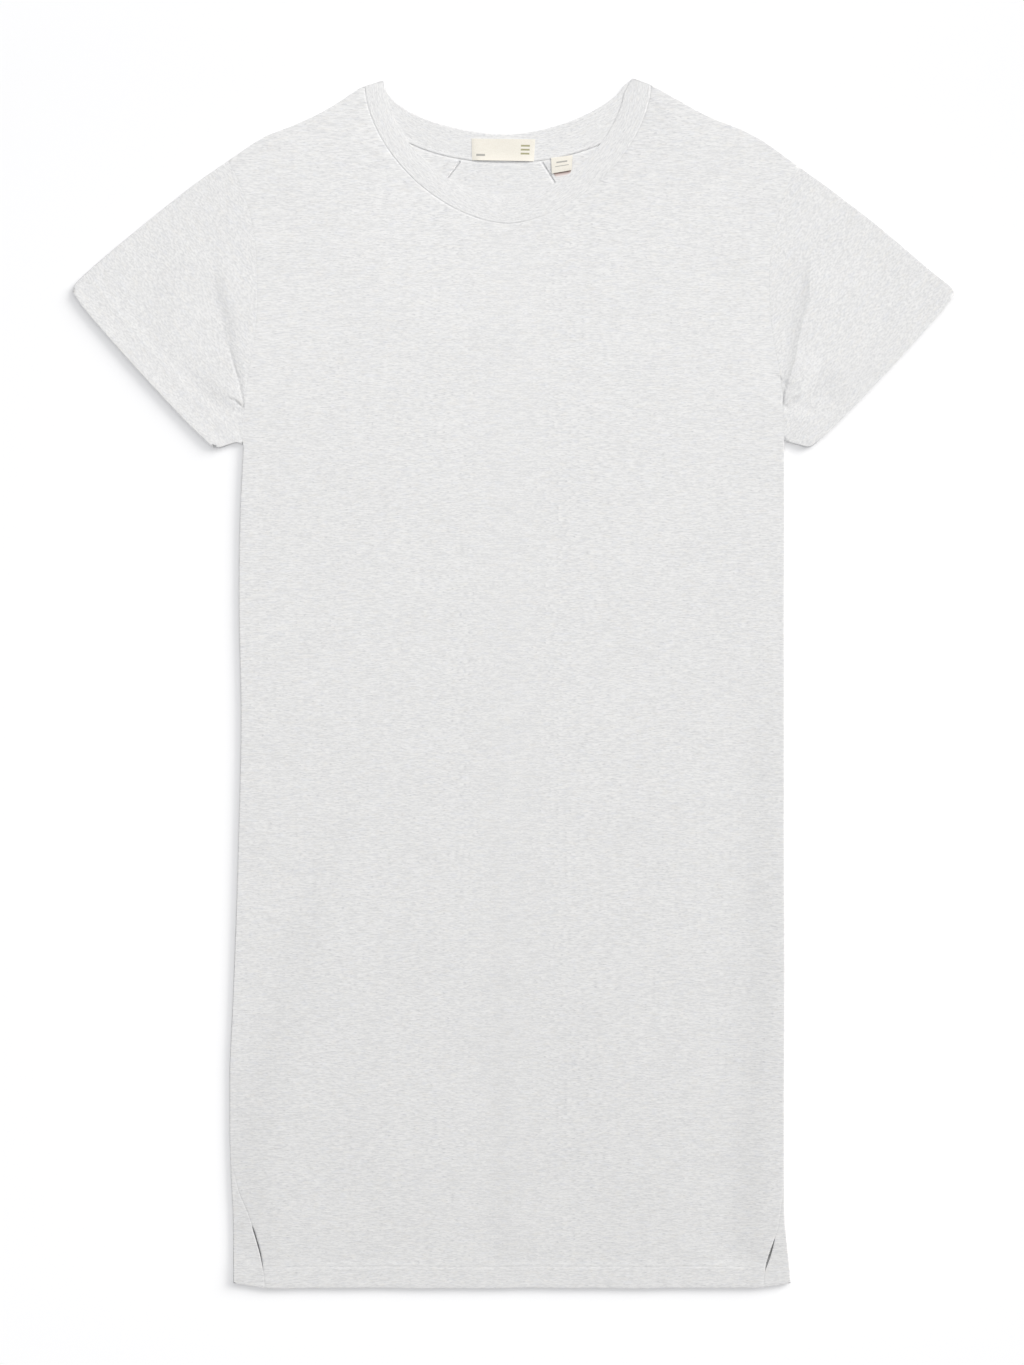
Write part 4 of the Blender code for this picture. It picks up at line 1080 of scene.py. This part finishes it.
sleeve = {
    "spacing": 0.0032,
    "underSpacing": 0.0048,
    "cloth": 0.0009,
    "hemCloth": 0.0016,
    "hemRise": 0.00028,
    "stitchLine": 0.0190,
    "stitchDepth": 0.00010,
    "puckers": 0.00007,
    "puckerSeed": 13.0,
    "edgeLift": 0.0004,
    "seamDip": {"right": (0.0, 0.0014), "left": (0.00012, 0.0014)},
    # the two creases of each sleeve that are given rows of points
    "sharp": {"right": creaseLines[0:2], "left": creaseLines[2:4]},
}


def makeSleeve(side):
    cuff = lines[side + "cuff"]
    armhole = lines[side + "armhole"]
    parts = [("seam", armhole), ("fold", lines[side + "sleeveFold"]), ("hem", cuff),
             ("fold", lines[side + "underarmFold"][::-1]), ("seam", lines[side + "Beside"])]
    region = fillRegion(parts, sleeve["spacing"], sleeve["sharp"][side])
    points = region[0]
    reach = awayFrom(points, [cuff])
    extra = hemRelief(points, reach, sleeve, sleeve["puckerSeed"])
    extra -= dip(awayFrom(points, [armhole]), *sleeve["seamDip"][side])
    upper = layer(region, upperHeight(points, extra), hemmedCloth(reach, sleeve), 1.0)
    region = fillRegion(parts, sleeve["underSpacing"])
    points = region[0]
    thickness = hemmedCloth(awayFrom(points, [cuff]), sleeve)
    lower = layer(region, lowerHeight(points), thickness, -1.0)
    return clothPiece(side + "Sleeve", [upper, lower], sleeveJersey[side], sleeve["hemCloth"])


sleevePieces = {side: makeSleeve(side) for side in sides}
print("sleeves laid")

band = {
    "spacing": 0.0022,
    "cloth": 0.0011,
    "edgeCloth": 0.0003,
    "edgeTaper": 0.003,
    "lift": 0.00008,
    "liftReach": 0.004,
    "seamDip": (0.00026, 0.0011),
    "stitchLine": 0.0027,
    "stitchDepth": 0.00012,
    "stitchWidth": 0.0006,
    # the back half is thicker along its seam, and thinner at both edges
    "lipRidge": 0.00016,
    "ridgeFrom": 0.0014,
    "edgeDip": (0.0003, 0.0010),
    "partedDip": (0.0001, 0.0006),
    "partedWidth": 0.0010,
}


def makeBand():
    layers = []
    for over, name in ((1.0, "front"), (-1.0, "back")):
        seam, edge = lines[name + "Seam"], lines[name + "Edge"]
        parts = [("seam", seam), ("fold", lines["leftbandFold"]), ("free", edge[::-1]),
                 ("fold", lines["rightbandFold"][::-1])]
        region = fillRegion(parts, band["spacing"])
        points = region[0]
        seamAway, edgeAway = awayFrom(points, [seam]), awayFrom(points, [edge])
        line = groove(seamAway - band["stitchLine"], band["stitchDepth"], band["stitchWidth"])
        if over > 0:
            extra = band["lift"] * ease(edgeAway / band["liftReach"]) - line
            extra -= dip(seamAway, *band["seamDip"])
            height = upperHeight(points, extra)
            thickness = lerp(band["edgeCloth"], band["cloth"], ease(edgeAway / band["edgeTaper"]))
        else:
            height = lowerHeight(points)
            ridge = 1.0 - ease((seamAway - band["ridgeFrom"]) / band["ridgeFrom"])
            parted = lerp(*band["partedDip"], neckShare(points))
            thickness = band["cloth"] + band["lipRidge"] * ridge - line
            thickness -= dip(edgeAway, *band["edgeDip"]) + dip(seamAway, parted, band["partedWidth"])
        along, beside = besideLine(points, seam)
        uv = np.column_stack([along + over, np.abs(beside)])
        layers.append(layer(region, height, thickness, over, uv))
    return clothPiece("neckBinding", layers, bandJersey, band["cloth"] + band["lipRidge"])


bandPiece = makeBand()
print("neckband laid")

dartLook = {
    "width": 0.0065,
    "tip": 0.0012,
    "flatness": 1.6,
    "cloth": 0.00022,
    "level": 0.00107,
    "round": 0.00013,
    "rows": 30,
    "columns": 21,
    "ridge": {"right": 0.00002, "left": 0.00012},
    "ridgeWidth": 0.0011,
    "inset": 0.0009,
    "wave": 0.00006,
    "waves": 21.0,
}


def gridFaces(rows, columns):
    firsts = [i * columns + j for i in range(rows - 1) for j in range(columns - 1)]
    return [(first, first + 1, first + columns + 1, first + columns) for first in firsts]


# A folded take-up: flat, doubled at its inner edge, and narrowing to a point
def makeDart(side):
    dart = darts[side]
    start, way, out = np.array(dart["start"]), unit(dart["way"]), np.array(dart["out"])
    rows, columns = dartLook["rows"], dartLook["columns"]
    verts = []
    for share in np.arange(rows) / (rows - 1):
        centre = start + way * darts["length"] * share
        width = lerp(dartLook["width"], dartLook["tip"], share)
        for turn in np.arange(columns) / (columns - 1):
            offset = width * abs(2 * turn - 1) ** dartLook["flatness"]
            place = centre + out * (offset + dartLook["inset"])
            level = dartLook["level"] + dartLook["round"] * math.sin(math.pi * (turn - 0.5))
            level += dartLook["ridge"][side] * math.exp(-offset / dartLook["ridgeWidth"])
            level += dartLook["wave"] * math.sin(share * dartLook["waves"])
            verts.append((place[0], place[1], level))
    piece = newPiece(side + "Dart", verts, gridFaces(rows, columns), bodyJersey)
    editAll(bpy.ops.mesh.normals_make_consistent, inside=False)
    thicken(piece, dartLook["cloth"], 0.0, 50)
    return piece


dartPieces = {side: makeDart(side) for side in sides}
print("darts folded")

mainLabel = {
    # lower right, lower left, upper left, upper right, as worn
    "corners": [(-0.0314, 0.3977), (0.0157, 0.3969), (0.0167, 0.4137), (-0.0318, 0.4142)],
    "level": 0.00148,
    "cloth": 0.00030,
    "grid": (16, 40),
    # how high the lower edge stands off, how far up, and how near the sewn ends
    "lift": 0.00075,
    "liftUp": 0.45,
    "liftEnds": 0.12,
    "wave": 0.00009,
    "waveEnds": 0.1,
    "endDip": (0.0002, 0.02),
    "bars": [("grey", 0.07, 0.21, 0.20, 0.30), ("olive", 0.78, 0.92, 0.30, 0.38),
             ("olive", 0.78, 0.92, 0.48, 0.56), ("olive", 0.78, 0.92, 0.66, 0.74)],
}
sizeLabel = {
    "corners": [(0.0294, 0.3875), (0.0444, 0.3901), (0.0451, 0.4012), (0.0287, 0.3992)],
    "cloth": 0.00030,
    "columns": 20,
    "bars": [("grey", 0.24, 0.76, 0.62, 0.72), ("grey", 0.18, 0.84, 0.38, 0.43)],
    # share of the way down, height: up the front leaf, over the fold and down the longer back one
    "profile": [(1.00, 0.00275), (0.90, 0.00285), (0.74, 0.00275), (0.52, 0.00245), (0.30, 0.00210),
                (0.12, 0.00180), (0.02, 0.00160), (0.00, 0.00145), (0.03, 0.00130),
                (0.20, 0.00125), (0.55, 0.00125), (0.90, 0.00130), (1.15, 0.00140),
                (1.30, 0.00128)],
    "steps": 4,
    "fold": 7,
    "low": 0.00150,
    "tilt": (0.25, 1.0),
    "wave": 0.00006,
    # the back leaf narrows from here down, by this share in all, more at the right
    "narrowFrom": 0.85,
    "narrowing": 0.16,
    # painted shadow on the back leaf: dark brown just under the front leaf, fading towards the tape's
    # tone further down, by its share of the way down less 3
    "inner": {"levels": (-1.97, -1.85, -1.72), "deep": (0.34, 0.25, 0.22, 1.0),
              "middle": (0.66, 0.55, 0.52, 1.0), "edge": (0.84, 0.80, 0.78, 1.0)},
}


def cornerPoint(corners, across, up):
    lowerRight, lowerLeft, upperLeft, upperRight = corners
    return lerp(lerp(lowerRight, lowerLeft, across), lerp(upperRight, upperLeft, across), up)


def labelPiece(name, verts, uv, columns, look, inner=None):
    finish = tapeFinish(name + "Tape", look["bars"], inner)
    piece = newPiece(name, verts, gridFaces(len(verts) // columns, columns), finish, uv)
    thicken(piece, look["cloth"], -1.0, 50)
    return piece


def makeMainLabel():
    look = mainLabel
    rows, columns = look["grid"]
    verts, uv = [], []
    for up in np.linspace(0.0, 1.0, rows):
        for across in np.linspace(0.0, 1.0, columns):
            x, y = cornerPoint(look["corners"], across, up)
            ends = min(across, 1 - across)
            lift = look["lift"] * max(1 - up / look["liftUp"], 0) ** 2 * ease(ends / look["liftEnds"])
            wave = look["wave"] * math.sin(across * 9.0 + up * 2.0) * ease(ends / look["waveEnds"])
            verts.append((x, y, look["level"] + lift + wave - groove(ends, *look["endDip"])))
            uv.append((across, up))
    return labelPiece("mainLabel", verts, uv, columns, look)


def makeSizeLabel():
    look = sizeLabel
    profile = smoothCurve(look["profile"], steps=look["steps"])
    full = look["profile"][-1][0] - look["narrowFrom"]
    verts, uv = [], []
    for i, (down, level) in reversed(list(enumerate(profile))):
        front = i <= look["fold"] * look["steps"]
        narrow = 0.0 if front else look["narrowing"] * max(down - look["narrowFrom"], 0.0) / full
        for across in np.linspace(0.0, 1.0, look["columns"]):
            along = lerp(narrow * 1.4, 1.0 - narrow * 0.6, across)
            x, y = cornerPoint(look["corners"], along, 1 - down)
            tilt = lerp(*look["tilt"], across) if front else 1.0
            wave = look["wave"] * math.sin(across * 5.0 + 0.8) * down
            verts.append((x, y, look["low"] + (level - look["low"]) * tilt + wave))
            uv.append((across, 1 - down if front else down - 3.0))
    return labelPiece("sizeLabel", verts, uv, look["columns"], look, look["inner"])


mainLabelPiece = makeMainLabel()
sizeLabelPiece = makeSizeLabel()
print("labels laid")

thread = {"length": 0.0024, "bandLength": 0.0015, "width": 0.00042, "height": 0.00030, "gap": 0.0008,
          "ventGap": 0.002, "hemEnds": 0.0012, "narrowing": 0.25, "sinking": 0.5}


# One stitch is modelled once, and each of its copies is turned along the line
def makeStitch():
    bpy.ops.object.select_all(action="DESELECT")
    bpy.ops.mesh.primitive_uv_sphere_add(segments=6, ring_count=6, radius=0.5,
                                         rotation=(0.0, math.pi / 2, 0.0))
    stitch = bpy.context.object
    bpy.ops.object.transform_apply(location=True, rotation=True, scale=True)
    verts = np.array([tuple(v.co) for v in stitch.data.vertices])
    # sorted, because their order differs from run to run
    faces = sorted(tuple(p.vertices) for p in stitch.data.polygons)
    bpy.data.objects.remove(stitch)
    ends = np.abs(verts[:, 0]) * 2
    verts[:, 1] *= 1.0 - thread["narrowing"] * ends**2
    verts[:, 2] -= thread["sinking"] * ends**3
    return verts, faces


stitchVerts, stitchFaces = makeStitch()


def stitchRow(name, paths, material, length):
    verts, faces = [], []
    shaped = stitchVerts * (length, thread["width"], thread["height"])
    for line, heights in paths:
        lengths = walk(line)
        count = int(lengths[-1] / (length + thread["gap"]))
        at = (np.arange(count) + 0.5) * lengths[-1] / count
        ways = pointsAt(at + 0.0005, lengths, line) - pointsAt(at - 0.0005, lengths, line)
        levels = np.interp(at, lengths, heights)
        for place, way, level in zip(pointsAt(at, lengths, line), ways, levels):
            x, y = unit(way)
            shift = len(verts) * len(shaped)
            turned = place + shaped[:, :2] @ np.array([(x, y), (-y, x)])
            verts.append(np.column_stack([turned, level + shaped[:, 2]]))
            faces.extend(tuple(i + shift for i in face) for face in stitchFaces)
    piece = newPiece(name, np.vstack(verts), faces, material)
    bpy.ops.object.shade_smooth()
    return piece


def offsetLine(line, distance):
    return line + leftNormals(line) * distance


# A hem's stitches lie in the groove along its stitch line
def hemPath(line, look):
    depth = look["hemRise"] * 0.5 - look["stitchDepth"]
    return [(line, upperHeight(line, np.full(len(line), depth)))]


def stitchAll():
    rows = {}
    rightSide, leftSide = frontSide("right"), frontSide("left")
    hem = hemAt(rightSide[0, 0] + thread["hemEnds"], leftSide[0, 0] - thread["hemEnds"])
    line = offsetLine(hem, frontPanel["stitchLine"])
    low, high = rightSide[8, 0] + thread["ventGap"], leftSide[8, 0] - thread["ventGap"]
    line = line[(line[:, 0] > low) & (line[:, 0] < high)]
    rows["hemStitches"] = stitchRow("hemStitches", hemPath(line, frontPanel), bodyJersey,
                                    thread["length"])
    for side, out in sides.items():
        line = offsetLine(lines[side + "cuff"], -out * sleeve["stitchLine"])[3:-3]
        rows[side] = stitchRow(side + "CuffStitches", hemPath(line, sleeve), sleeveJersey[side],
                               thread["length"])
    line = offsetLine(lines["frontSeam"], band["stitchLine"])[4:-4]
    depth = np.full(len(line), band["lift"] - band["stitchDepth"])
    front = (line, upperHeight(line, depth))
    line = offsetLine(lines["backSeam"], band["stitchLine"])[10:-10]
    back = (line, np.full(len(line), band["cloth"] + band["lipRidge"] * 0.1 - band["stitchDepth"]))
    rows["band"] = stitchRow("bandStitches", [front, back], bodyJersey, thread["bandLength"])
    return rows


stitchPieces = stitchAll()
print("stitched")


# Hides the solids that the cloth stands in for, and hangs every piece on the root body
def declare():
    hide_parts("front")
    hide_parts("back")
    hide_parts("neckband")
    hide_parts("main_label")
    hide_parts("size_label")
    for side in sides:
        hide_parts("sleeve_" + side)
        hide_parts("dart_" + side)
    jersey = [frontPiece, backPiece, bandPiece, *sleevePieces.values(), *dartPieces.values(),
              *stitchPieces.values()]
    for piece in jersey:
        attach(piece, "root")
    for piece in (mainLabelPiece, sizeLabelPiece):
        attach(piece, "root")


declare()
bpy.context.view_layer.update()
